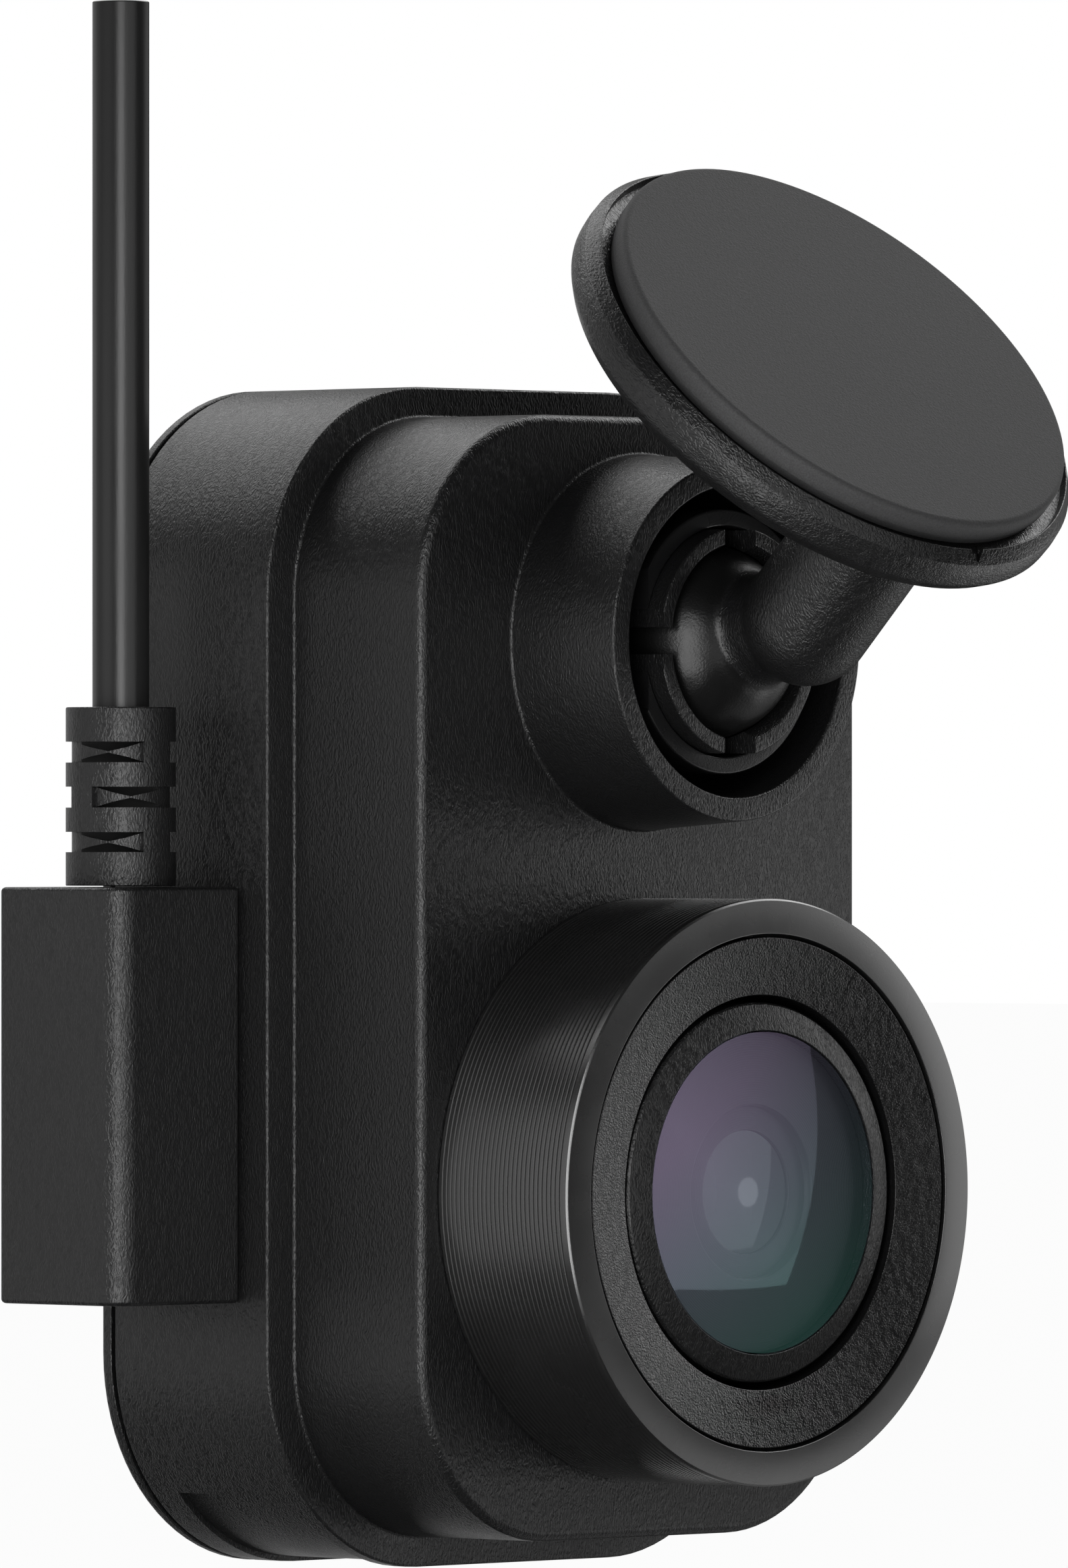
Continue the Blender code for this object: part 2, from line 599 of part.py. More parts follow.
def make_plug(frame):
    width, depth, edge = PLUG_RIGHT - PLUG_LEFT, 7.53, 0.2
    middle = (PLUG_LEFT + PLUG_RIGHT) / 2 - PLUG_X
    small, large = 0.3, 1.2
    corners = (small, small, large, small)
    end_corners = tuple(corner - edge / 2 for corner in corners)
    ends = (width - 2 * edge, depth - 2 * edge, end_corners)
    sections = [
        (*ends, PLUG_BOTTOM), (width, depth, corners, PLUG_BOTTOM + edge),
        (width, depth, corners, PLUG_TOP - edge), (*ends, PLUG_TOP),
    ]
    body = add("plug_body", stacked(sections, 5), grained_black(), frame, at=(middle, 0, 0))
    cut(body, block(4, 2.0, USB_UP - 3.55, USB_UP + 3.55, 0.2), at=(width / 2, 0, 0))
    tail, tip = -17.45, -9.9
    shell_x = (tail + tip) / 2 - PLUG_X
    tube = block(tip - tail, 1.8, USB_UP - 3.42, USB_UP + 3.42, 0.2)
    shell = add("plug_shell", tube, plated_steel(), frame, at=(shell_x, 0, 0))
    cut(shell, block(tip - tail, 1.3, USB_UP - 3.17, USB_UP + 3.17, 0.1), at=(0.5, 0, 0))
    make_strain_relief(frame)
    make_cable(frame)


def make_strain_relief(frame):
    """A bored sleeve with three grooves that let it bend."""
    foot, top = PLUG_TOP + SEAT, 12.04
    outer, core, bore = 2.45, 1.75, CABLE_R + SEAT
    profile = [(0, foot), (outer, foot)]
    for low, high in ((5.6, 6.5), (7.58, 8.51), (9.58, 10.51)):
        profile += [(outer, low), (core, low), (core, high), (outer, high)]
    profile += [(outer, top), (bore, top), (bore, 4.6), (0, 4.6)]
    add("strain_relief", turned(profile, SMALL_ROUND), grained_black(), frame)


def make_cable(frame):
    wall = 0.33
    jacket = [(CABLE_R, 4.7), (CABLE_R, CABLE_TOP), (CABLE_R - wall, CABLE_TOP), (CABLE_R - wall, 4.7)]
    add("cable_jacket", turned(jacket, SMALL_ROUND), cable_black(), frame)
    for name, side in (("supply_wire", -1), ("return_wire", 1)):
        wire = [(0, 4.8), (0.42, 4.8), (0.42, CABLE_TOP - 0.15), (0, CABLE_TOP - 0.15)]
        add(name, turned(wire, 12), copper(), frame, at=(side * 0.46, 0, 0))


def main():
    clear_scene()
    cos, sin = math.cos(DISC_TILT), math.sin(DISC_TILT)
    disc_forward = ELBOW_FORWARD + STEM_LENGTH * sin - DISC_SHIFT * cos
    disc_up = ELBOW_UP + STEM_LENGTH * cos + DISC_SHIFT * sin
    face_forward = disc_forward + PAD_FACE * sin
    face_up = disc_up + PAD_FACE * cos
    ball_centre = (0, face_forward - BALL_FORWARD, SOCKET_UP - face_up)

    disc_frame = pivot("disc_frame", None, (0, PAD_FACE * sin, -PAD_FACE * cos), (DISC_TILT, 0, 0))
    make_mount(disc_frame, ball_centre)

    facing = (math.pi / 2, 0, 0)
    tilt_pivot = pivot("tilt_pivot", None, ball_centre, facing)
    pan_pivot = pivot("pan_pivot", tilt_pivot)
    spin_pivot = pivot("spin_pivot", pan_pivot)
    camera = pivot("camera_frame", spin_pivot, (0, -SOCKET_UP, -BALL_FORWARD))

    make_socket(pivot("socket_axis", camera, (0, SOCKET_UP, 0)), tilt_pivot, pan_pivot)
    make_front_housing(camera)
    make_rear_cover(camera)
    make_save_button(camera)
    make_lens_group(pivot("lens_axis", camera, (0, LENS_UP, 0)))
    make_main_board(camera)
    make_plug(pivot("plug_frame", camera, (PLUG_X, 0, USB_FORWARD), (-math.pi / 2, 0, 0)))


main()
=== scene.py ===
"""Looks for the dash camera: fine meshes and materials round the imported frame, with studio, floor and camera.

Numbers in the shape functions are millimetres. Most are in the camera's own frame, which sits at the centre
of the flange's front face: x right, y up, z forward. Profiles of turned parts are (radius, height along their
axis), with a rounding radius as a third number where a corner is eased. The mount disc's own z points out of
the pad.
"""

import json
import math

import bmesh
import bpy
from mathutils import Matrix, Vector

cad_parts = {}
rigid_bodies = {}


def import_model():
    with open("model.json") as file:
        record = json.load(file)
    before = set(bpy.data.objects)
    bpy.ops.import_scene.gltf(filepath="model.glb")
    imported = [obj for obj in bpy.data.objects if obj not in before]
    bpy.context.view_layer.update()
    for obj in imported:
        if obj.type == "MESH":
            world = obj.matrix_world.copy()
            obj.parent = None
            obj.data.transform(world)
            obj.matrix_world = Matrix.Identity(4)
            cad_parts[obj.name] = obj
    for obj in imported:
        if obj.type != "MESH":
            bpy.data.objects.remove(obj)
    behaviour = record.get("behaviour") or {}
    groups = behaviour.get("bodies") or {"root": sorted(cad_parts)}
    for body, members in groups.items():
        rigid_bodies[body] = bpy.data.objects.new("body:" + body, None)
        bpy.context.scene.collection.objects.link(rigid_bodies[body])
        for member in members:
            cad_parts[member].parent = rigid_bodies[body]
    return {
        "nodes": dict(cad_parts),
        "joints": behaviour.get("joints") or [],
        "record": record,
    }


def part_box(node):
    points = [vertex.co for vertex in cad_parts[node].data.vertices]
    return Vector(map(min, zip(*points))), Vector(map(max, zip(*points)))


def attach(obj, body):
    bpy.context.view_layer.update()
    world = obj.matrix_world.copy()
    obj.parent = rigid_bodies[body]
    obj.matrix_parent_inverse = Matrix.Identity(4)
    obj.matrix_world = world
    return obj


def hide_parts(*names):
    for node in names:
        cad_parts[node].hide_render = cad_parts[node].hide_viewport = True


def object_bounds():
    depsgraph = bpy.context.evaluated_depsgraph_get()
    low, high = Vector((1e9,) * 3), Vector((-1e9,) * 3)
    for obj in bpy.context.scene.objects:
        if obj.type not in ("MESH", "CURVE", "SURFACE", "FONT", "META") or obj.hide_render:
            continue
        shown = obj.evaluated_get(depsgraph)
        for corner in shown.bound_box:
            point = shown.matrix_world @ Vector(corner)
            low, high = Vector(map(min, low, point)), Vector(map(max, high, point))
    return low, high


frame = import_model()
cad_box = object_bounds()

MM = 0.001
ROUND = 144  # segments round a large turned piece
SMALL_ROUND = 72
LENS_ROUND = 192
CORNER_STEPS = 20
SHARP_LENS_PARTS = 14  # degrees between faces at which a turned lens part keeps a crisp edge

# Driving sizes, as in the design
BODY = (31.6, 52.9, 9.6)
FRONT = (28.2, 50.15, 8.2)
FRONT_DEPTH = 7.9
REAR_DEPTH = 9.68
WALL = 1.2
LENS_UP = -9.52
BARREL_R, BARREL_FRONT = 13.05, 15.81
SOCKET_UP, SOCKET_RIM, SOCKET_FLOOR = 14.97, 13.81, 4.6
BALL_R, BALL_FORWARD = 4.4, 11.5
ELBOW_FORWARD, ELBOW_UP = 18.0, 15.9
STEM_LENGTH = 9.4
DISC_TILT = math.radians(45)
PAD_FACE = 0.89
PAD_R = 11.45
BUTTON_UP = -2.0
LIGHTS_UP = 13.0
LIGHT_PLACES = (-4, 0, 4)
MICROPHONE = (9.3, -9.0)
USB_UP, USB_FORWARD = -5.18, -5.34
CARD_FORWARD = -4.95
PLUG_LEFT, PLUG_RIGHT, CABLE_ACROSS = -23.58, -15.88, -19.66
VIEW_TURN = 46  # degrees from straight ahead round to the camera that takes the picture
FLOOR_GAP = 0.02  # metres, so that the memory card clears the floor when it is drawn out


# ---- frames ----


def camera_frame():
    """World place of the flange's front centre, with z pointing forward out of the lens."""
    low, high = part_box("front_housing")
    flange = high.y - REAR_DEPTH * MM
    middle = (low.z + high.z) / 2
    return Matrix.Translation((0, flange, middle)) @ Matrix.Rotation(math.pi / 2, 4, "X")


def shifted(base, x, y, z=0.0):
    return base @ Matrix.Translation((x * MM, y * MM, z * MM))


CAMERA = camera_frame()
LENS_AXIS = shifted(CAMERA, 0, LENS_UP)
SOCKET_AXIS = shifted(CAMERA, 0, SOCKET_UP)
DISC_FRAME = Matrix.Rotation(DISC_TILT, 4, "X") @ Matrix.Translation((0, 0, -PAD_FACE * MM))


def cable_frame():
    """World directions, with z up the cable's axis and z = 0 at the camera's middle height."""
    low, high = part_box("cable_jacket")
    middle = (low + high) / 2
    return Matrix.Translation((middle.x, middle.y, CAMERA.translation.z))


CABLE_FRAME = cable_frame()
VIEW_FACING = Matrix.Rotation(math.radians(-VIEW_TURN), 4, "Z")


# ---- outlines ----


def eased(points, closed=False, step=math.radians(15)):
    """(a, b, radius) corners joined by straight lines, each corner turned into an arc of its radius."""
    outline = []
    count = len(points)
    for i, (a, b, radius) in enumerate(points):
        here = Vector((a, b))
        if radius == 0 or (not closed and i in (0, count - 1)):
            outline.append((a, b))
            continue
        before = (Vector(points[i - 1][:2]) - here).normalized()
        after = (Vector(points[(i + 1) % count][:2]) - here).normalized()
        half = before.angle(after) / 2
        middle = here + (before + after).normalized() * (radius / math.sin(half))
        start = here + before * (radius / math.tan(half)) - middle
        turn = start.angle_signed(here + after * (radius / math.tan(half)) - middle)
        steps = max(2, math.ceil(abs(turn) / step))
        for j in range(steps + 1):
            spoke = Matrix.Rotation(-turn * j / steps, 2) @ start
            outline.append(tuple(middle + spoke))
    return outline


def rounded_rect(width, height, radius, steps=CORNER_STEPS):
    """Points of a rounded rectangle about the origin, anticlockwise, from one radius or four."""
    radii = radius if isinstance(radius, tuple) else (radius,) * 4
    points = []
    for quarter, (sx, sy) in enumerate(((1, 1), (-1, 1), (-1, -1), (1, -1))):
        corner = radii[quarter]
        for step in range(steps + 1):
            angle = math.pi / 2 * (quarter + step / steps)
            x = sx * (width / 2 - corner) + corner * math.cos(angle)
            y = sy * (height / 2 - corner) + corner * math.sin(angle)
            points.append((x, y))
    return points


def arc(radius, centre, start, end, steps=24):
    """(r, z) points on a circle centred on the axis at z = centre; angles in degrees from +z."""
    points = []
    for step in range(steps + 1):
        angle = math.radians(start + (end - start) * step / steps)
        points.append((radius * math.sin(angle), centre + radius * math.cos(angle)))
    return points


def sag(radius, r):
    """How far a sphere of the radius falls away at distance r from its crown."""
    return radius - math.sqrt(radius * radius - r * r)


def dome(edge_r, edge_z, curve_r, steps=24):
    """(r, z) points over a lens surface, from its edge to its crown on the axis."""
    crown = edge_z + sag(curve_r, edge_r)
    radii = [edge_r * (1 - step / steps) for step in range(steps + 1)]
    return [(r, crown - sag(curve_r, r)) for r in radii]


# ---- meshes ----


def turned(profile, segments=ROUND):
    """A (r, z) profile spun about z: open from axis to axis, or else a closed loop."""
    bm = bmesh.new()
    rings = []
    for r, z in profile:
        if r < 1e-9:
            rings.append([bm.verts.new((0, 0, z))])
            continue
        angles = [math.tau * i / segments for i in range(segments)]
        rings.append([bm.verts.new((r * math.cos(a), r * math.sin(a), z)) for a in angles])
    on_axis = len(rings[0]) == 1 and len(rings[-1]) == 1
    following = rings[1:] if on_axis else rings[1:] + rings[:1]
    for one, two in zip(rings, following):
        for i in range(segments):
            j = (i + 1) % segments
            corners = [one[i % len(one)], one[j % len(one)], two[j % len(two)], two[i % len(two)]]
            bm.faces.new(list(dict.fromkeys(corners)))
    return bm


def stacked(sections, steps=CORNER_STEPS):
    """Rounded rectangles (width, height, radius, z) joined in order, closed at both ends."""
    bm = bmesh.new()
    loops = []
    for width, height, radius, z in sections:
        loops.append([bm.verts.new((x, y, z)) for x, y in rounded_rect(width, height, radius, steps)])
    count = len(loops[0])
    for lower, upper in zip(loops, loops[1:]):
        for i in range(count):
            j = (i + 1) % count
            bm.faces.new((lower[i], lower[j], upper[j], upper[i]))
    bm.faces.new(loops[0])
    bm.faces.new(loops[-1])
    return bm


def block(width, height, z0, z1, radius=0.1, steps=4):
    """A box with rounded upright edges."""
    return stacked([(width, height, radius, z0), (width, height, radius, z1)], steps)


def prism(outline, z0, z1):
    """An (x, y) outline drawn out from z0 to z1."""
    bm = bmesh.new()
    lower = [bm.verts.new((x, y, z0)) for x, y in outline]
    upper = [bm.verts.new((x, y, z1)) for x, y in outline]
    count = len(outline)
    for i in range(count):
        j = (i + 1) % count
        bm.faces.new((lower[i], lower[j], upper[j], upper[i]))
    bm.faces.new(lower)
    bm.faces.new(upper)
    return bm


def rods(places, radius, z0, z1, segments=48):
    """Upright cylinders at several (x, y) places, in one mesh."""
    bm = bmesh.new()
    for x, y in places:
        made = bmesh.ops.create_cone(
            bm, cap_ends=True, segments=segments, radius1=radius, radius2=radius, depth=z1 - z0
        )
        bmesh.ops.translate(bm, verts=made["verts"], vec=(x, y, (z0 + z1) / 2))
    return bm


def plain_object(name, bm, base):
    """An object from a mesh in millimetres, facing outward, placed by the matrix."""
    bmesh.ops.remove_doubles(bm, verts=bm.verts, dist=1e-5)
    bmesh.ops.recalc_face_normals(bm, faces=bm.faces)
    mesh = bpy.data.meshes.new(name)
    bm.to_mesh(mesh)
    bm.free()
    mesh.transform(Matrix.Diagonal((MM, MM, MM, 1)))
    obj = bpy.data.objects.new(name, mesh)
    bpy.context.scene.collection.objects.link(obj)
    obj.matrix_world = base
    return obj


def combine(obj, operation, bm, base=None):
    """Applies one Boolean to the object with a throwaway helper."""
    helper = plain_object("helper", bm, obj.matrix_world if base is None else base)
    modifier = obj.modifiers.new("combine", "BOOLEAN")
    modifier.operation = operation
    modifier.solver = "MANIFOLD"
    modifier.object = helper
    bake(obj)
    bpy.data.meshes.remove(helper.data)


def bake(obj):
    """Turns the object's modifiers into mesh."""
    bpy.context.view_layer.update()
    graph = bpy.context.evaluated_depsgraph_get()
    made = bpy.data.meshes.new_from_object(obj.evaluated_get(graph))
    obj.modifiers.clear()
    old = obj.data
    obj.data = made
    bpy.data.meshes.remove(old)


def piece(obj, body, surface, sharp=30):
    """Smooths the object, gives it its finish and makes it ride in place of its CAD node."""
    obj.data.shade_smooth()
    obj.data.set_sharp_from_angle(angle=math.radians(sharp))
    weighted = obj.modifiers.new("weighted", "WEIGHTED_NORMAL")
    weighted.keep_sharp = True
    weighted.weight = 80
    obj.data.materials.clear()
    obj.data.materials.append(surface)
    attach(obj, body)
    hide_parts(obj.name.removeprefix("fine_"))
    return obj


# ---- shader building ----


def new_surface(name, colour, roughness, metallic=0.0):
    """A material and its Principled shader."""
    surface = bpy.data.materials.new(name)
    surface.use_nodes = True
    shader = surface.node_tree.nodes["Principled BSDF"]
    shader.inputs["Base Color"].default_value = (*colour, 1)
    shader.inputs["Roughness"].default_value = roughness
    shader.inputs["Metallic"].default_value = metallic
    return surface, shader


def add_node(surface, kind, inputs=None, **settings):
    """A shader node; an input given as a socket is linked, and any other is set."""
    tree = surface.node_tree
    made = tree.nodes.new(kind)
    for name, value in settings.items():
        setattr(made, name, value)
    for name, value in (inputs or {}).items():
        if isinstance(value, bpy.types.NodeSocket):
            tree.links.new(value, made.inputs[name])
        else:
            made.inputs[name].default_value = value
    return made


def place_of(surface, stretch=(1, 1, 1)):
    """The piece's own coordinates in millimetres, divided along each axis by the stretch."""
    coordinates = add_node(surface, "ShaderNodeTexCoord")
    scale = [1 / (MM * value) for value in stretch]
    return add_node(
        surface, "ShaderNodeMapping", {"Vector": coordinates.outputs["Object"], "Scale": scale}
    ).outputs["Vector"]


def noise(surface, place, size, detail=2.0, output="Fac"):
    """Cloudy noise from 0 to 1 with features of about the given size in millimetres."""
    return add_node(
        surface, "ShaderNodeTexNoise", {"Vector": place, "Scale": 1 / size, "Detail": detail}
    ).outputs[output]


def ramp(surface, value, low, high, start, end):
    """Value, mapped from the range low..high to start..end and clamped."""
    return add_node(
        surface, "ShaderNodeMapRange",
        {"Value": value, "From Min": low, "From Max": high, "To Min": start, "To Max": end},
    ).outputs["Result"]


def mixed_colour(surface, factor, one, two):
    """Colour one where the factor is 0, and two where it is 1."""
    mix = add_node(surface, "ShaderNodeMix", {0: factor, 6: (*one, 1), 7: (*two, 1)}, data_type="RGBA")
    return mix.outputs[2]


def vector_maths(surface, operation, inputs, output="Vector"):
    return add_node(surface, "ShaderNodeVectorMath", inputs, operation=operation).outputs[output]


def uneven_roughness(surface, cloud, shader, smooth, rough):
    """Roughness that drifts between two values with a cloudy noise."""
    connect(surface, ramp(surface, cloud, 0.3, 0.7, smooth, rough), shader, "Roughness")


def connect(surface, output, shader, name):
    surface.node_tree.links.new(output, shader.inputs[name])


def bumped(surface, shader, height, depth):
    """Feeds a height from 0 to 1 to the shader as relief of the given depth in millimetres."""
    bump = add_node(surface, "ShaderNodeBump", {"Height": height, "Distance": depth * MM})
    connect(surface, bump.outputs["Normal"], shader, "Normal")
    return bump


# ---- materials ----


def grained(name, stretch, shade=1.0, roughness=0.33, depth=0.015):
    """Black plastic with a fine leather grain of short wavering streaks along the stretched direction."""
    waver_size, waver_reach, streak_size = 0.55, 0.32, 0.088
    surface, shader = new_surface(name, (0.007, 0.007, 0.007), roughness)
    place = place_of(surface)
    warp = noise(surface, place, waver_size, 1.0, "Color")
    centred = vector_maths(surface, "SUBTRACT", {0: warp, 1: (0.5, 0.5, 0.5)})
    push = vector_maths(surface, "SCALE", {0: centred, "Scale": waver_reach})
    moved = vector_maths(surface, "ADD", {0: place, 1: push})
    squeezed = vector_maths(surface, "MULTIPLY", {0: moved, 1: [1 / value for value in stretch]})
    height = ramp(surface, noise(surface, squeezed, streak_size, 1.5), 0.36, 0.64, 0, 1)
    bumped(surface, shader, height, depth)
    low, high = 0.006 * shade, 0.0085 * shade
    tone = ramp(surface, height, 0, 1, 0.15, 0.85)
    colour = mixed_colour(surface, tone, (low, low, low * 1.03), (high, high, high * 1.03))
    connect(surface, colour, shader, "Base Color")
    uneven_roughness(surface, noise(surface, place, 6.0, 3.0), shader, roughness - 0.04, roughness + 0.05)
    return surface


def ball_black():
    """Glossier plastic with slow unevenness under a faint grain."""
    surface, shader = new_surface("ball_black", (0.005, 0.005, 0.005), 0.28)
    shader.inputs["Specular IOR Level"].default_value = 0.4
    place = place_of(surface)
    swell = bumped(surface, shader, noise(surface, place, 1.3, 1.0), 0.05)
    grain = bumped(surface, shader, noise(surface, place, 0.11, 2.0), 0.01)
    surface.node_tree.links.new(swell.outputs["Normal"], grain.inputs["Normal"])
    uneven_roughness(surface, noise(surface, place, 1.8, 2.0), shader, 0.25, 0.34)
    return surface


def satin_black():
    """Smoother plastic with a soft sheen, for the lens barrel and the button."""
    surface, shader = new_surface("satin_black", (0.007, 0.007, 0.007), 0.28)
    shader.inputs["Specular IOR Level"].default_value = 0.85
    shader.inputs["IOR"].default_value = 1.7
    place = place_of(surface)
    fine = noise(surface, place, 0.06, 2.0)
    bumped(surface, shader, fine, 0.0025)
    cloud = noise(surface, place, 3.5, 3.0)
    uneven_roughness(surface, cloud, shader, 0.25, 0.3)
    colour = mixed_colour(surface, cloud, (0.006, 0.006, 0.006), (0.009, 0.009, 0.009))
    connect(surface, colour, shader, "Base Color")
    return surface


def pad_foam():
    """Matt adhesive foam with a fine cell texture."""
    surface, shader = new_surface("pad_foam", (0.05, 0.05, 0.052), 0.75)
    place = place_of(surface)
    grain = noise(surface, place, 0.07, 2.5)
    cells = add_node(
        surface, "ShaderNodeTexVoronoi", {"Vector": place, "Scale": 1 / 0.11}, feature="F1"
    ).outputs["Distance"]
    height = add_node(surface, "ShaderNodeMath", {0: grain, 1: cells}, operation="ADD").outputs[0]
    bumped(surface, shader, height, 0.012)
    tone = ramp(surface, grain, 0.3, 0.7, 0, 1)
    colour = mixed_colour(surface, tone, (0.03, 0.03, 0.0305), (0.05, 0.05, 0.051))
    connect(surface, colour, shader, "Base Color")
    return surface


def cable_black():
    """Soft cable sheath, its texture drawn out along the cable."""
    surface, shader = new_surface("cable_black", (0.014, 0.014, 0.014), 0.32)
    place = place_of(surface, (1, 1, 8))
    fine = noise(surface, place, 0.08, 2.0)
    bumped(surface, shader, fine, 0.003)
    cloud = noise(surface, place, 1.2, 2.0)
    uneven_roughness(surface, cloud, shader, 0.27, 0.37)
    colour = mixed_colour(surface, cloud, (0.007, 0.007, 0.007), (0.01, 0.01, 0.01))
    connect(surface, colour, shader, "Base Color")
    return surface


def plain_plastic(name, low, high, roughness, size=0.15, depth=0.004):
    """Moulded plastic or rubber with a faint texture and a little variation of tone."""
    surface, shader = new_surface(name, low, roughness)
    place = place_of(surface)
    bumped(surface, shader, noise(surface, place, size, 2.0), depth)
    cloud = noise(surface, place, 2.5, 3.0)
    connect(surface, mixed_colour(surface, cloud, low, high), shader, "Base Color")
    uneven_roughness(surface, cloud, shader, roughness - 0.05, roughness + 0.06)
    return surface


def inner_plastic():
    return plain_plastic("inner_plastic", (0.009, 0.009, 0.009), (0.014, 0.014, 0.014), 0.6)


def soft_grey():
    return plain_plastic("soft_grey", (0.1, 0.1, 0.104), (0.14, 0.14, 0.146), 0.65)


def card_plastic():
    return plain_plastic("card_plastic", (0.017, 0.017, 0.018), (0.024, 0.024, 0.026), 0.38, 0.08)


def chip_black():
    return plain_plastic("chip_black", (0.017, 0.017, 0.018), (0.025, 0.025, 0.026), 0.48, 0.05, 0.006)


def lens_metal():
    """Black anodised aluminium, turned, with fine rings about the lens axis."""
    surface, shader = new_surface("lens_metal", (0.012, 0.012, 0.012), 0.36, 0.4)
    rings = add_node(
        surface, "ShaderNodeTexWave", {"Vector": place_of(surface), "Scale": 3.0, "Distortion": 0.3},
        wave_type="RINGS", rings_direction="Z",
    ).outputs["Fac"]
    bumped(surface, shader, rings, 0.003)
    connect(surface, ramp(surface, rings, 0, 1, 0.3, 0.44), shader, "Roughness")
    return surface


def steel():
    """Bright steel with a brushed grain."""
    surface, shader = new_surface("steel", (0.62, 0.63, 0.64), 0.28, 1.0)
    brushed = noise(surface, place_of(surface, (1, 1, 12)), 0.06, 3.0)
    bumped(surface, shader, brushed, 0.003)
    cloud = noise(surface, place_of(surface), 2.0, 3.0)
    uneven_roughness(surface, cloud, shader, 0.22, 0.38)
    colour = mixed_colour(surface, cloud, (0.55, 0.56, 0.57), (0.68, 0.68, 0.69))
    connect(surface, colour, shader, "Base Color")
    return surface


def copper():
    """Stranded copper wire."""
    surface, shader = new_surface("copper", (0.8, 0.42, 0.24), 0.32, 1.0)
    strands = add_node(
        surface, "ShaderNodeTexWave", {"Vector": place_of(surface), "Scale": 2.2, "Distortion": 0.6},
        wave_type="BANDS", bands_direction="DIAGONAL",
    ).outputs["Fac"]
    bumped(surface, shader, strands, 0.02)
    cloud = noise(surface, place_of(surface), 0.8, 2.0)
    connect(surface, mixed_colour(surface, cloud, (0.72, 0.34, 0.18), (0.86, 0.5, 0.3)), shader, "Base Color")
    return surface


def circuit_board():
    """Green solder mask with faint tracks running below it."""
    surface, shader = new_surface("circuit_board", (0.01, 0.09, 0.035), 0.35)
    place = place_of(surface)
    cells = add_node(
        surface, "ShaderNodeTexVoronoi", {"Vector": place, "Scale": 1 / 1.6}, feature="DISTANCE_TO_EDGE"
    )
    tracks = ramp(surface, cells.outputs["Distance"], 0.03, 0.07, 1, 0)
    bumped(surface, shader, tracks, 0.02)
    colour = mixed_colour(surface, tracks, (0.006, 0.06, 0.022), (0.02, 0.14, 0.055))
    connect(surface, colour, shader, "Base Color")
    uneven_roughness(surface, noise(surface, place, 1.5, 2.0), shader, 0.28, 0.42)
    return surface


def clear_plastic():
    """Cloudy moulded plastic that light passes through, for the light pipes and lamps."""
    surface, shader = new_surface("clear_plastic", (0.85, 0.87, 0.9), 0.18)
    shader.inputs["Transmission Weight"].default_value = 0.85
    place = place_of(surface)
    cloud = noise(surface, place, 0.8, 2.0)
    bumped(surface, shader, cloud, 0.006)
    uneven_roughness(surface, cloud, shader, 0.12, 0.24)
    return surface


def coated(name, tint, colour_of):
    """Glass that lets light straight through, with a coloured reflection on its outer face only."""
    surface, shader = new_surface(name, tint, 0.03)
    tree = surface.node_tree
    tree.nodes.remove(shader)
    place = place_of(surface)
    smear = ramp(surface, noise(surface, place, 0.3, 3.0), 0.3, 0.8, 0.015, 0.05)
    gloss = add_node(
        surface, "ShaderNodeBsdfGlossy", {"Roughness": smear, "Color": colour_of(surface, place)}
    ).outputs[0]
    clear = add_node(surface, "ShaderNodeBsdfTransparent", {"Color": (*tint, 1)}).outputs[0]
    both = add_node(surface, "ShaderNodeAddShader", {0: clear, 1: gloss}).outputs[0]
    inside = add_node(surface, "ShaderNodeNewGeometry").outputs["Backfacing"]
    mix = add_node(surface, "ShaderNodeMixShader", {0: inside, 1: both, 2: clear}).outputs[0]
    tree.links.new(mix, tree.nodes["Material Output"].inputs["Surface"])
    return surface


def coated_glass():
    """Painted reflection: the glossy colour runs from violet at the upper left through blue to green at the
    lower right, and is painted darker at the upper right as painted shade.
    """
    def colour_of(surface, place):
        down = vector_maths(surface, "DOT_PRODUCT", {0: place, 1: (0.6, -0.8, 0)}, "Value")
        across = vector_maths(surface, "DOT_PRODUCT", {0: place, 1: (0.7, 0.7, 0)}, "Value")
        lower = ramp(surface, down, -5, 6, 0, 1)
        # painted reflection colour across the glass, and painted shade darkening it towards the upper right
        painted_reflection_hue = mixed_colour(surface, lower, (0.19, 0.153, 0.233), (0.055, 0.15, 0.128))
        painted_darkening = ramp(surface, across, -2, 6.5, 1, 0.35)
        return vector_maths(surface, "SCALE", {0: painted_reflection_hue, "Scale": painted_darkening})

    return coated("coated_glass", (0.88, 0.9, 0.93), colour_of)


def pupil_glass():
    """A faint grey reflection, with a painted highlight that brightens it in a small spot in the middle."""
    def colour_of(surface, place):
        flat = vector_maths(surface, "MULTIPLY", {0: place, 1: (1, 1, 0)})
        reach = vector_maths(surface, "LENGTH", {0: flat}, "Value")
        # painted highlight: the reflection is brighter within about 0.7 mm of the middle
        painted_glint = ramp(surface, reach, 0.6, 0.72, 1, 0)
        return mixed_colour(surface, painted_glint, (0.1, 0.108, 0.102), (0.27, 0.276, 0.264))

    return coated("pupil_glass", (0.5, 0.5, 0.52), colour_of)


def clear_glass():
    """Uncoated glass, for the pieces inside the lens."""
    def colour_of(surface, place):
        return mixed_colour(surface, noise(surface, place, 3.0), (0.05, 0.055, 0.06), (0.07, 0.07, 0.07))

    return coated("clear_glass", (0.9, 0.92, 0.93), colour_of)


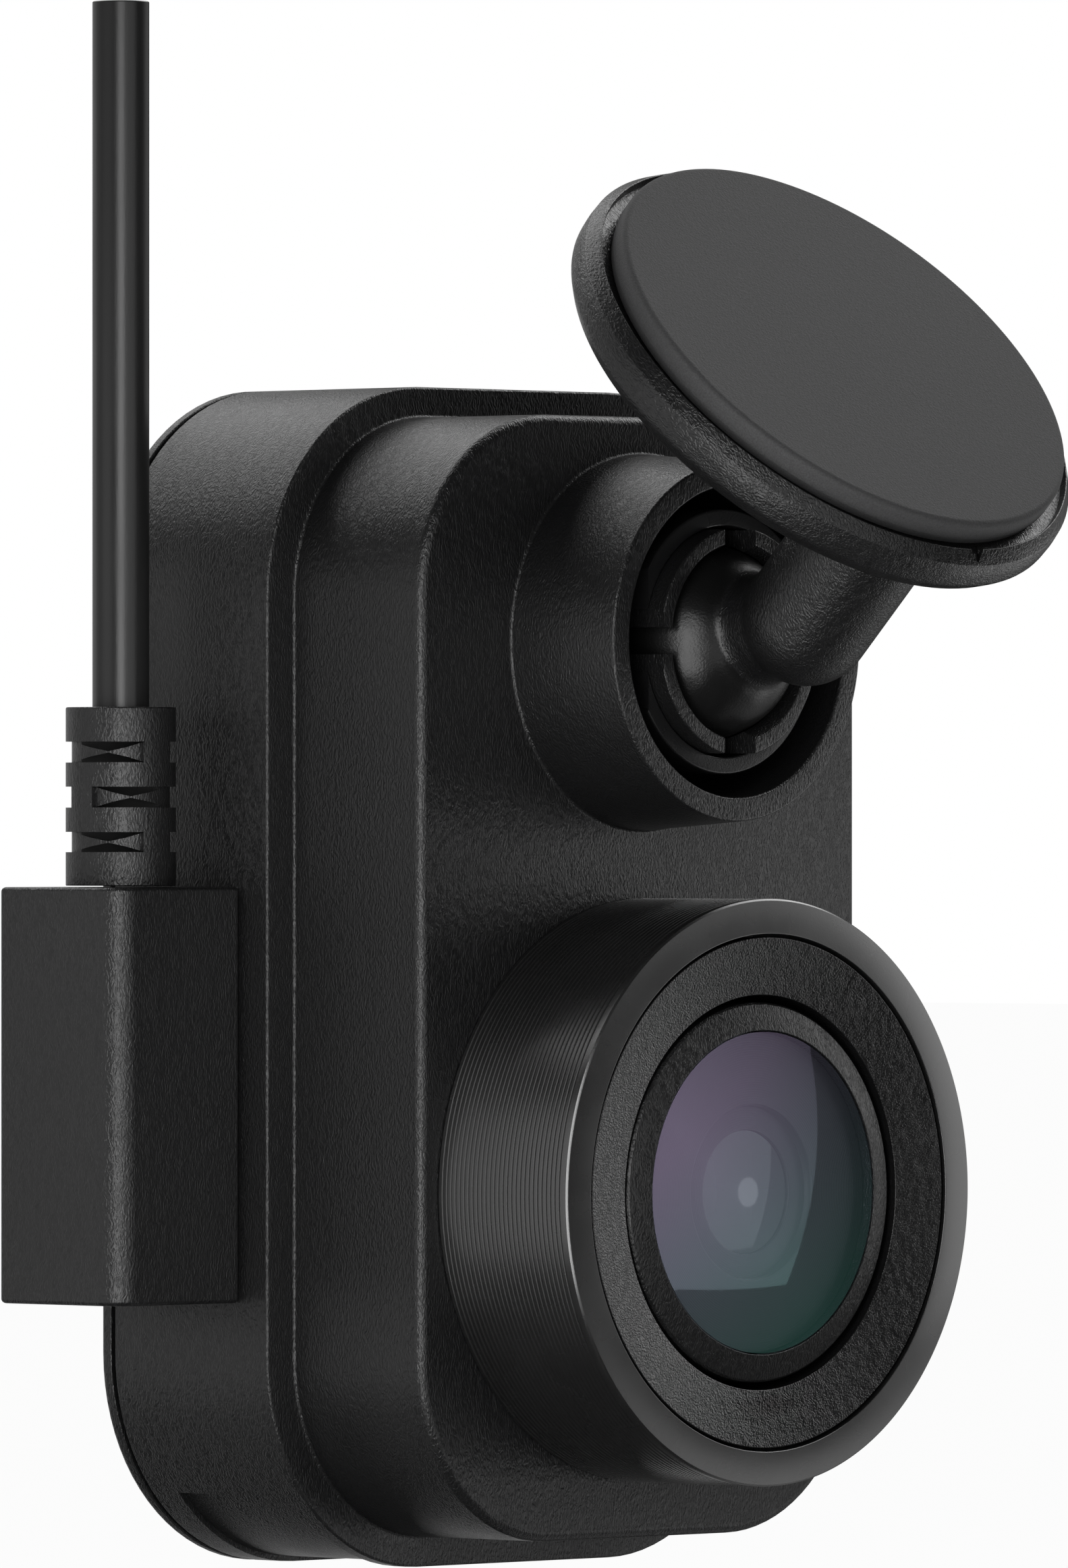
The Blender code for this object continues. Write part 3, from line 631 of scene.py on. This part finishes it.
FINISHES = {
    "pad_foam": pad_foam(),
    "grained_black": grained("grained_black", (1, 3, 1)),
    "satin_black": satin_black(),
    "inner_plastic": inner_plastic(),
    "coated_glass": coated_glass(),
    "clear_glass": clear_glass(),
    "lens_metal": lens_metal(),
    "chip_black": chip_black(),
    "circuit_board": circuit_board(),
    "steel": steel(),
    "soft_grey": soft_grey(),
    "clear_plastic": clear_plastic(),
    "copper": copper(),
    "card_plastic": card_plastic(),
    "cable_black": cable_black(),
}
UPRIGHT_GRAIN = grained("grained_black_upright", (1, 1, 3))
MOUNT_GRAIN = grained("grained_black_mount", (1, 2.6, 1))
DISH_GRAIN = grained("dish_grained_black", (1, 1, 1), 0.8, 0.24, 0.009)
SATIN_GRAIN = grained("satin_grained_black", (1, 1, 1), 1.1, 0.26, 0.002)
# Near-black material for painted shade on the deep faces of the strain relief's hollows.
HOLLOW_SHADE_PAINT = plain_plastic("hollow_black", (0.001, 0.001, 0.001), (0.002, 0.002, 0.002), 0.9)
BALL_BLACK = ball_black()
PAINTED_GLINT_GLASS = pupil_glass()


def finish_carried_nodes():
    """Every node of the frame takes the finish of its slot in the record."""
    for row in frame["record"]["subparts"]:
        obj = frame["nodes"][row["node"]]
        obj.data.materials.clear()
        obj.data.materials.append(FINISHES[row["material_slot"]])


# ---- mount ----


def make_pad():
    """The adhesive pad, its rim softly rounded where it stands proud of the disc."""
    profile = eased([
        (0, -0.39, 0), (PAD_R - 0.12, -0.39, 0.05), (PAD_R, 0, 0.1), (PAD_R, PAD_FACE, 0.3), (0, PAD_FACE, 0),
    ])
    pad = plain_object("fine_adhesive_pad", turned(profile), DISC_FRAME)
    piece(pad, "mount", FINISHES["pad_foam"])


def make_disc():
    """The disc: a chamfered rim, a shallow well for the pad and a small V cut at its lowest point."""
    profile = eased([
        (0, -2.6, 0), (11.95, -2.6, 0.5), (12.5, -1.9, 0.6), (12.54, -1.2, 0.6), (12.5, -0.62, 0.12),
        (12.0, 0, 0.05), (11.93, -0.45, 0), (0, -0.45, 0),
    ])
    disc = plain_object("fine_mount_disc", turned(profile), DISC_FRAME)
    socket = turned([(0, -4), (1.9, -4), (1.9, -1.1), (0, -1.1)], SMALL_ROUND)
    combine(disc, "DIFFERENCE", socket, shifted(DISC_FRAME, 0, -6.92))
    notch = eased([(-0.75, 0.1, 0), (0.75, 0.1, 0), (0, -1.15, 0.08)], closed=True)
    combine(disc, "DIFFERENCE", prism(notch, -0.5, 0.6), shifted(DISC_FRAME, 0, -PAD_R - 0.06))
    piece(disc, "mount", MOUNT_GRAIN)


def make_arm():
    """Ball, neck and stem, melted together where they meet, with a crisp seat under the disc."""
    ball = Vector(frame["joints"][0]["pos_m"])
    ahead, above = ELBOW_FORWARD - BALL_FORWARD, ELBOW_UP - SOCKET_UP
    reach, rise = math.hypot(ahead, above), math.atan2(above, ahead)
    neck_base = Matrix.Translation(ball) @ Matrix.Rotation(math.pi / 2 - rise, 4, "X")
    neck = [(2.5, 3.75), (2.45, 4.1), (2.5, 4.8), (2.6, reach), (0, reach)]
    arm = plain_object("fine_mount_arm", turned(arc(BALL_R, 0, 180, 37, 48) + neck, 96), neck_base)
    lean = -(math.pi / 2 - rise - DISC_TILT)
    stem_base = shifted(neck_base, 0, 0, reach) @ Matrix.Rotation(lean, 4, "X")
    stem_r, top = 2.95, STEM_LENGTH - 2.66
    stem = eased([(stem_r, 0, 0), (stem_r, top, 0.4), (3.5, top, 0), (3.5, top + 1, 0)])
    elbow = arc(stem_r, 0, 180, 90, 24)
    combine(arm, "UNION", turned(elbow + stem[1:] + [(0, top + 1)], 96), stem_base)
    melt(arm, 0.12, 5)
    combine(arm, "DIFFERENCE", block(12, 12, top, top + 4), stem_base)
    tenon = turned([(0, top - 1), (1.8, top - 1), (1.8, top + 1.2), (0, top + 1.2)], SMALL_ROUND)
    combine(arm, "UNION", tenon, stem_base)
    piece(arm, "mount", MOUNT_GRAIN, sharp=50)
    arm.data.materials.append(BALL_BLACK)
    to_ball = arm.matrix_world.inverted() @ ball
    for face in arm.data.polygons:
        face.material_index = int((face.center - to_ball).length < (BALL_R + 0.05) * MM)


def melt(obj, voxel, passes):
    """Remeshes the object finely and lets its inner corners flow together."""
    remesh = obj.modifiers.new("remesh", "REMESH")
    remesh.mode = "VOXEL"
    remesh.voxel_size = voxel * MM
    smooth = obj.modifiers.new("smooth", "SMOOTH")
    smooth.factor = 0.5
    smooth.iterations = passes
    bake(obj)


# ---- ball socket ----


def make_socket_ring():
    """The sleeve round the collet, with a foot on the socket's floor and a flat on either side."""
    foot = SOCKET_FLOOR + 0.06
    profile = eased([
        (4.42, foot, 0), (6.85, foot, 0), (6.85, 5.6, 0.1), (5.9, 5.6, 0.1), (5.9, 13.05, 0.1),
        (5.15, 13.05, 0.08), (5.15, 9.24, 0), (4.42, 9.24, 0),
    ], closed=True)
    ring = plain_object("fine_socket_ring", turned(profile), SOCKET_AXIS)
    for side in (-1, 1):
        combine(ring, "DIFFERENCE", block(2, 14, 5.61, 14, 0.01), shifted(SOCKET_AXIS, side * 5.96, 0))
    piece(ring, "camera", SATIN_GRAIN)


def make_collet():
    """Four fingers round the ball, with a lead-in round their mouth and eased tips."""
    base, mouth, tip, seat_r = 9.3, 13.2, 13.96, BALL_R + 0.06
    start = 180 - math.degrees(math.acos((BALL_FORWARD - base) / seat_r))
    end = math.degrees(math.acos((mouth - BALL_FORWARD) / seat_r))
    profile = eased([(5.08, base, 0), (5.08, tip, 0.1), (4.4, tip, 0.08), (4.16, mouth + 0.1, 0)])
    profile += arc(seat_r, BALL_FORWARD, end, start)
    collet = plain_object("fine_socket_collet", turned(profile), SOCKET_AXIS)
    combine(collet, "DIFFERENCE", block(2.0, 14, 10.4, 15, 0.01), SOCKET_AXIS)
    combine(collet, "DIFFERENCE", block(14, 1.2, 10.4, 15, 0.01), SOCKET_AXIS)
    for side in (-1, 1):
        combine(collet, "DIFFERENCE", block(2, 14, 8, 15, 0.01), shifted(SOCKET_AXIS, side * 5.9, 0))
    piece(collet, "camera", FINISHES["grained_black"])


# ---- housing ----


def grown(size, profile):
    """Sections of a rounded rectangle (width, height, corner) from a profile of (inset, z)."""
    width, height, corner = size
    return [(width - 2 * i, height - 2 * i, max(corner - i, 1.1), z) for i, z in profile]


def make_front_housing():
    """The shell: rear skirt and raised front, ball socket, screw posts, and openings for plug and card."""
    inner = [(WALL, FRONT_DEPTH - WALL), (WALL, -WALL)]
    skirt = eased([
        (WALL, -WALL, 0), (WALL, -REAR_DEPTH, 0), (0, -REAR_DEPTH, 0.08), (0, 0, 0.13), (0.7, 0, 0),
    ])
    nose = eased([(-0.6, 0, 0), (0, 0, 0.15), (0, FRONT_DEPTH, 0.43), (1.6, FRONT_DEPTH, 0)])
    sections = grown(FRONT, inner) + grown(BODY, skirt) + grown(FRONT, nose)
    housing = plain_object("fine_front_housing", stacked(sections), CAMERA)
    posts = [(side * 10.6, end * 20.4) for side in (-1, 1) for end in (-1, 1)]
    combine(housing, "UNION", rods(posts, 1.7, -2.94, FRONT_DEPTH - 0.9))
    boss = eased([
        (0, 3.6, 0), (8.2, 3.6, 0), (8.2, 7.2, 0), (8.75, 7.2, 0), (8.75, 7.905, 0), (8.42, 7.905, 0.15),
        (8.0, SOCKET_RIM, 0.12), (0, SOCKET_RIM, 0),
    ])
    combine(housing, "UNION", turned(boss), SOCKET_AXIS)
    bore = eased([
        (0, SOCKET_FLOOR, 0), (6.95, SOCKET_FLOOR, 0), (6.95, SOCKET_RIM + 0.002, 0.12),
        (7.4, SOCKET_RIM + 0.002, 0), (7.4, 15, 0), (0, 15, 0),
    ])
    combine(housing, "DIFFERENCE", turned(bore), SOCKET_AXIS)
    combine(housing, "DIFFERENCE", turned([(0, 5), (10, 5), (10, 9), (0, 9)]), LENS_AXIS)
    combine(housing, "DIFFERENCE", rods(posts, 0.62, -4, 2.4))
    port = shifted(CAMERA, -BODY[0] / 2, USB_UP, USB_FORWARD) @ Matrix.Rotation(math.pi / 2, 4, "Y")
    combine(housing, "DIFFERENCE", block(3.4, 8.4, -2, 2, 1.2, 10), port)
    combine(housing, "DIFFERENCE", card_recess())
    slit = shifted(CAMERA, 0, -BODY[1] / 2, CARD_FORWARD) @ Matrix.Rotation(math.pi / 2, 4, "X")
    combine(housing, "DIFFERENCE", block(11.8, 1.5, -2, 2, 0.3), slit)
    piece(housing, "camera", FINISHES["grained_black"])


def card_recess(depth=0.25, top=-22.8):
    """A shallow step round the foot of the housing, where a fingertip reaches the memory card."""
    def lower(offset):
        size = (BODY[0] + 2 * offset, BODY[1] + 2 * offset, BODY[2] + offset)
        return [point for point in rounded_rect(*size, 32) if point[1] < top]

    return prism(lower(1.0) + lower(-depth)[::-1], -7.98, -0.8)


def make_rear_cover():
    """The crowned back, with openings for the button, three lights and the microphone."""
    seam = -(REAR_DEPTH + 0.24)
    inner = [(9.6, -11.5), (5.0, -11.1), (2.3, -10.3), (2.3, -8.7), (1.3, -8.7), (1.3, seam)]
    edge = eased([(1.3, seam, 0), (0, seam, 0.08), (0, seam - 0.55, 0.3), (0.25, -10.6, 0)])[1:-1]
    crown = []
    for step in range(1, 25):
        share = step / 24
        rise = 1 - (1 - share) ** 2.2
        crown.append((0.12 + 8.38 * share, -(10.55 + 2.25 * rise)))
    cover = plain_object("fine_rear_cover", stacked(grown(BODY, inner + edge + crown)), CAMERA)
    combine(cover, "DIFFERENCE", block(12.8, 8.8, -14, -10, 4.3, 20), shifted(CAMERA, 0, BUTTON_UP))
    combine(cover, "DIFFERENCE", rods([(x, LIGHTS_UP) for x in LIGHT_PLACES], 0.86, -14, -10))
    combine(cover, "DIFFERENCE", rods([MICROPHONE], 0.45, -14, -10))
    piece(cover, "camera", FINISHES["grained_black"], sharp=24)


def make_save_button():
    """A stadium cap with a soft edge and a shallow finger dish."""
    tail, lip, face = (2.4, 2.4, 1.1), (14.2, 10.2, 5.05), (12.4, 8.4, 4.15)
    cap = eased([(0, -11.4, 0), (0, -13.2, 0.3), (1.2, -13.2, 0.6), (3.0, -13.02, 0)])[1:]
    sections = [(*tail, -6.99), (*tail, -10.7), (*lip, -10.7), (*lip, -11.4), (*face, -11.4)]
    sections += grown(face, cap)
    button = plain_object("fine_save_button", stacked(sections), shifted(CAMERA, 0, BUTTON_UP))
    piece(button, "button", FINISHES["satin_black"])


# ---- lens group ----


def make_lens_ring():
    """The barrel: fine grooves turned round its side, a narrow chamfer and a flat front."""
    side = [(BARREL_R, 7.96)]
    grooves, first, pitch, half, depth = 28, 8.2, 0.264, 0.06, 0.1
    for number in range(grooves):
        middle = first + number * pitch
        side += [(BARREL_R, middle - half), (BARREL_R - depth, middle), (BARREL_R, middle + half)]
    front = eased([
        (BARREL_R, 15.5, 0), (BARREL_R, 15.72, 0.02), (12.97, BARREL_FRONT, 0.02), (11.5, BARREL_FRONT, 0.04),
        (11.5, 13.1, 0),
    ])
    foot = [(8.9, 6.9), (9.9, 6.9), (9.9, 7.96)]
    inside = [(10.6, 13.1), (10.6, 9.4), (8.9, 9.4)]
    ring = plain_object("fine_lens_ring", turned(foot + side + front[1:] + inside, 256), LENS_AXIS)
    piece(ring, "camera", FINISHES["satin_black"], sharp=SHARP_LENS_PARTS)


def lens_part(name, profile, surface, sharp=SHARP_LENS_PARTS, segments=LENS_ROUND):
    """A turned piece of the lens group, made and finished."""
    obj = plain_object(name, turned(profile, segments), LENS_AXIS)
    piece(obj, "camera", surface, sharp=sharp)


def make_dish_and_bezel():
    """The sloping dish inside the barrel, and the narrower ring that holds the glass."""
    dish = eased([
        (8.78, 13.16, 0), (11.34, 13.16, 0), (11.34, 15.72, 0.04), (8.78, 15.26, 0.04),
    ], closed=True)
    lens_part("fine_lens_dish", dish, DISH_GRAIN)
    bezel = eased([
        (7.2, 14.9, 0), (7.2, 14.38, 0), (8.44, 14.38, 0), (8.44, 15.0, 0.04), (8.34, 15.12, 0.04),
        (7.2, 15.42, 0.04),
    ], closed=True)
    lens_part("fine_lens_bezel", bezel, FINISHES["grained_black"])


def make_glass():
    """A domed front lens, and close under it a dark stepped plate and a small inner lens."""
    rim, edge, curve = 7.14, 15.36, 27.0
    front = dome(rim, edge - 0.3, curve)[::-1] + dome(rim, edge, curve, 32)
    lens_part("fine_front_lens", front, FINISHES["coated_glass"], sharp=40)
    plate = eased([
        (rim, 14.4, 0), (rim, 14.8, 0.05), (3.93, 14.66, 0.06), (3.8, 14.3, 0), (2.77, 14.3, 0.05),
        (2.77, 14.0, 0), (rim, 14.0, 0),
    ], closed=True)
    lens_part("fine_lens_spacer", plate, FINISHES["lens_metal"])
    second = dome(2.75, 13.9, 30.0)[::-1] + dome(2.75, 14.2, 16.0)
    lens_part("fine_second_lens", second, PAINTED_GLINT_GLASS, sharp=40, segments=ROUND)


# ---- power plug and cable ----


def make_plug_body():
    """The moulded plug: an upright box with one corner more rounded and a slot for its metal shell."""
    width, depth, corners = PLUG_RIGHT - PLUG_LEFT, 7.53, (0.3, 0.3, 1.2, 0.3)
    profile = eased([(0.8, -14.44, 0), (0, -14.44, 0.2), (0, 4.05, 0.2), (0.8, 4.05, 0)])
    sections = []
    for inset, z in profile[1:-1]:
        rounded = tuple(corner - inset / 2 for corner in corners)
        sections.append((width - 2 * inset, depth - 2 * inset, rounded, z))
    middle = (PLUG_LEFT + PLUG_RIGHT) / 2
    body = plain_object("fine_plug_body", stacked(sections), shifted(CABLE_FRAME, middle - CABLE_ACROSS, 0))
    port = shifted(CABLE_FRAME, PLUG_RIGHT - CABLE_ACROSS, 0, USB_UP)
    combine(body, "DIFFERENCE", block(4, 2.0, -3.55, 3.55, 0.2), port)
    piece(body, "usb_plug", UPRIGHT_GRAIN)


def make_strain_relief():
    """A bored sleeve with three rows of windows, each crossed by two bridges and hollowed from both sides; the
    hollows' deep faces are painted near black as painted shade.
    """
    foot, top, outer, core, bore = 4.11, 12.04, 2.45, 2.18, 1.325
    rows = ((5.6, 6.5, 1), (7.58, 8.51, -1), (9.58, 10.51, 1))
    sleeve = plain_object("fine_strain_relief", relief_tube(outer, foot, top, bore), CABLE_FRAME)
    for low, high, side in rows:
        combine(sleeve, "DIFFERENCE", relief_tube(outer + 1, low, high, core, 0), CABLE_FRAME)
        add_bridges(sleeve, outer, core - 0.2, low - 0.05, high + 0.05, side)
        cut_hollows(sleeve, low, high, side)
    bevelled(sleeve, 0.035)
    piece(sleeve, "usb_plug", UPRIGHT_GRAIN)
    # painted shade: faces deep in the hollows take the near-black material
    sleeve.data.materials.append(HOLLOW_SHADE_PAINT)
    for face in sleeve.data.polygons:
        reach = face.center.xy.length / MM
        face.material_index = int(bore + 0.01 < reach < core - 0.06)


def add_bridges(sleeve, outer, inner, low, high, side):
    """Two bridges across a row's groove, on opposite sides, to the right or left of each window."""
    first, last = (26, 62) if side > 0 else (-62, -30)
    for turn in (0, 180):
        bridge = sector(outer, inner, first + turn - 90, last + turn - 90)
        combine(sleeve, "UNION", prism(bridge, low, high), CABLE_FRAME @ VIEW_FACING)


def cut_hollows(sleeve, low, high, side):
    """The pairs of notches that narrow to a waist in the middle of each window, front and back."""
    reach, neck, waist, floor = 1.62, 0.8, 0.03, 1.36
    for turn in (0, math.pi):
        facing = CABLE_FRAME @ Matrix.Rotation(turn, 4, "Z") @ VIEW_FACING
        level = shifted(facing, 0, 0, (low + high) / 2)
        place = shifted(level @ Matrix.Rotation(math.pi / 2, 4, "X"), -0.5 * side, 0)
        for end in (-1, 1):
            edge = end * (high - low) / 2.04
            notch = [
                (-reach, edge), (-neck, edge * 0.45), (0, end * waist), (neck, edge * 0.45), (reach, edge),
            ]
            combine(sleeve, "DIFFERENCE", prism(notch, floor, 3), place)


def sector(outer, inner, start, end, steps=16):
    """An outline between two radii and two angles in degrees."""
    angles = [math.radians(start + (end - start) * step / steps) for step in range(steps + 1)]
    outside = [(outer * math.cos(a), outer * math.sin(a)) for a in angles]
    return outside + [(inner * math.cos(a), inner * math.sin(a)) for a in reversed(angles)]


def bevelled(obj, width, angle=35):
    """Rounds the object's sharp edges."""
    bevel = obj.modifiers.new("bevel", "BEVEL")
    bevel.width = width * MM
    bevel.segments = 2
    bevel.angle_limit = math.radians(angle)
    bake(obj)


def relief_tube(outer, foot, top, bore, edge=0.08):
    """A tube with eased rims."""
    return turned(eased([
        (outer, foot, edge / 2), (outer, top, edge), (bore, top, edge / 2), (bore, foot, 0),
    ], closed=True))


def make_cable():
    """The cable's sheath, up to where the cable is cut."""
    low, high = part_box("cable_jacket")
    end = (high.z - CAMERA.translation.z) / MM
    outer, bore, foot = 1.265, 0.935, 4.7
    profile = eased([(outer, foot, 0), (outer, end, 0.06), (bore, end, 0.04), (bore, foot, 0)], closed=True)
    jacket = plain_object("fine_cable_jacket", turned(profile, SMALL_ROUND), CABLE_FRAME)
    piece(jacket, "usb_plug", FINISHES["cable_black"])


# ---- studio ----


def softbox(name, azimuth, elevation, width, height, radiance, distance=0.2):
    """A soft panel round the object, its distance in metres and its place and size as angles in degrees."""
    a, e = math.radians(azimuth), math.radians(elevation)
    away = Vector((math.sin(a) * math.cos(e), -math.cos(a) * math.cos(e), math.sin(e)))
    light = bpy.data.lights.new(name, "AREA")
    light.shape = "RECTANGLE"
    light.size = 2 * distance * math.tan(math.radians(width / 2))
    light.size_y = 2 * distance * math.tan(math.radians(height / 2))
    light.energy = radiance * math.pi * light.size * light.size_y
    obj = bpy.data.objects.new(name, light)
    bpy.context.scene.collection.objects.link(obj)
    obj.location = CAMERA.translation + away * distance
    obj.rotation_euler = (-away).to_track_quat("-Z", "Y").to_euler()
    obj.visible_camera = False


def make_lights():
    """Panels all round; azimuth 0 is in front of the lens, and positive to its right."""
    softbox("key_strip", -55, 0, 24, 60, 4.6, distance=0.09)
    softbox("left_panel", -100, 0, 40, 46, 0.55)
    softbox("left_near_panel", -105, 0, 30, 50, 0.35, distance=0.07)
    softbox("left_low_panel", -100, -46, 40, 40, 0.25)
    softbox("front_panel", -10, 0, 44, 46, 0.95)
    softbox("right_near_strip", 48, 0, 20, 40, 1.1, distance=0.045)
    softbox("right_near_edge", 56, 8, 16, 30, 0.6, distance=0.045)
    softbox("body_low_panel", 48, -25, 34, 24, 0.85, distance=0.1)
    softbox("right_panel", 85, 0, 40, 46, 0.38)
    softbox("right_high_panel", 85, 48, 40, 40, 3.1)
    softbox("right_low_panel", 85, -46, 40, 40, 0.3)
    softbox("back_left_panel", -145, 0, 44, 46, 0.4)
    softbox("back_high_panel", 180, 52, 60, 40, 1.8)
    softbox("back_panel", 168, -8, 66, 60, 0.5)
    softbox("ring_panel", 44, 14, 24, 24, 0.55, distance=0.12)
    softbox("dish_panel", 66, 14, 24, 30, 1.2, distance=0.4)
    softbox("lens_panel", 13, 28, 93.8, 91, 0.38, distance=0.4)
    softbox("lens_wide_panel", 40, 0, 150, 140, 0.19, distance=0.4)


def make_world():
    """White to the camera, and nearly dark to everything else, so that the panels do the lighting."""
    world = bpy.data.worlds.new("studio")
    bpy.context.scene.world = world
    world.use_nodes = True
    tree = world.node_tree
    background = tree.nodes["Background"]
    path = tree.nodes.new("ShaderNodeLightPath")
    strength = tree.nodes.new("ShaderNodeMapRange")
    strength.inputs["To Min"].default_value = 0.02
    strength.inputs["To Max"].default_value = 1.0
    tree.links.new(path.outputs["Is Camera Ray"], strength.inputs["Value"])
    tree.links.new(strength.outputs["Result"], background.inputs["Strength"])
    background.inputs["Color"].default_value = (1, 1, 1, 1)


def make_floor():
    """A wide pale floor that keeps a soft shadow and fades into the white behind it."""
    half, glow_share = 3.0, 0.97
    bm = bmesh.new()
    bmesh.ops.create_grid(bm, x_segments=8, y_segments=8, size=half / MM)
    floor = plain_object("floor", bm, Matrix.Translation((0, 0, cad_box[0].z - FLOOR_GAP)))
    surface, shader = new_surface("pale_floor", (0.9, 0.9, 0.9), 0.6)
    tree = surface.node_tree
    glow = add_node(surface, "ShaderNodeEmission", {"Strength": 1.0}).outputs[0]
    seen = add_node(surface, "ShaderNodeLightPath").outputs["Is Camera Ray"]
    share = add_node(surface, "ShaderNodeMath", {0: seen, 1: glow_share}, operation="MULTIPLY").outputs[0]
    mix = add_node(surface, "ShaderNodeMixShader", {0: share, 1: shader.outputs[0], 2: glow}).outputs[0]
    tree.links.new(mix, tree.nodes["Material Output"].inputs["Surface"])
    floor.data.materials.append(surface)
    floor.visible_glossy = False
    floor.visible_shadow = False


def make_camera():
    """A long lens, level, to the left of the front; its shift keeps upright edges upright."""
    turn = math.radians(45.972)
    data = bpy.data.cameras.new("view")
    data.sensor_fit = "VERTICAL"
    data.sensor_height = 36
    data.lens = 351.1
    data.shift_y = 0.0305
    data.clip_start = 0.01
    camera = bpy.data.objects.new("view", data)
    bpy.context.scene.collection.objects.link(camera)
    camera.location = (-0.4955, -0.459777, -0.0215662)
    camera.rotation_euler = (math.pi / 2, 0, -turn)
    bpy.context.scene.camera = camera
    bpy.context.scene.view_settings.view_transform = "Standard"


def share_light():
    """Lights named lens_, dish_, ring_ or body_ reach only those pieces; the rest light all but the lens."""
    shares = {name: bpy.data.collections.new(name) for name in ("lens", "dish", "ring", "body", "all")}
    lit_by = {
        "fine_front_lens": ["lens"],
        "fine_second_lens": ["lens"],
        "fine_lens_dish": ["dish", "all"],
        "fine_lens_bezel": ["all"],
        "fine_lens_ring": ["ring", "body", "all"],
    }
    for obj in bpy.context.scene.objects:
        if obj.type == "MESH":
            for name in lit_by.get(obj.name, ["body", "all"]):
                shares[name].objects.link(obj)
    for obj in bpy.context.scene.objects:
        if obj.type == "LIGHT":
            obj.light_linking.receiver_collection = shares.get(obj.name.split("_")[0], shares["all"])


def main():
    finish_carried_nodes()
    make_pad()
    make_disc()
    make_arm()
    make_socket_ring()
    make_collet()
    make_front_housing()
    make_rear_cover()
    make_save_button()
    make_lens_ring()
    make_dish_and_bezel()
    make_glass()
    make_plug_body()
    make_strain_relief()
    make_cable()
    make_floor()
    make_lights()
    make_world()
    share_light()
    make_camera()


main()
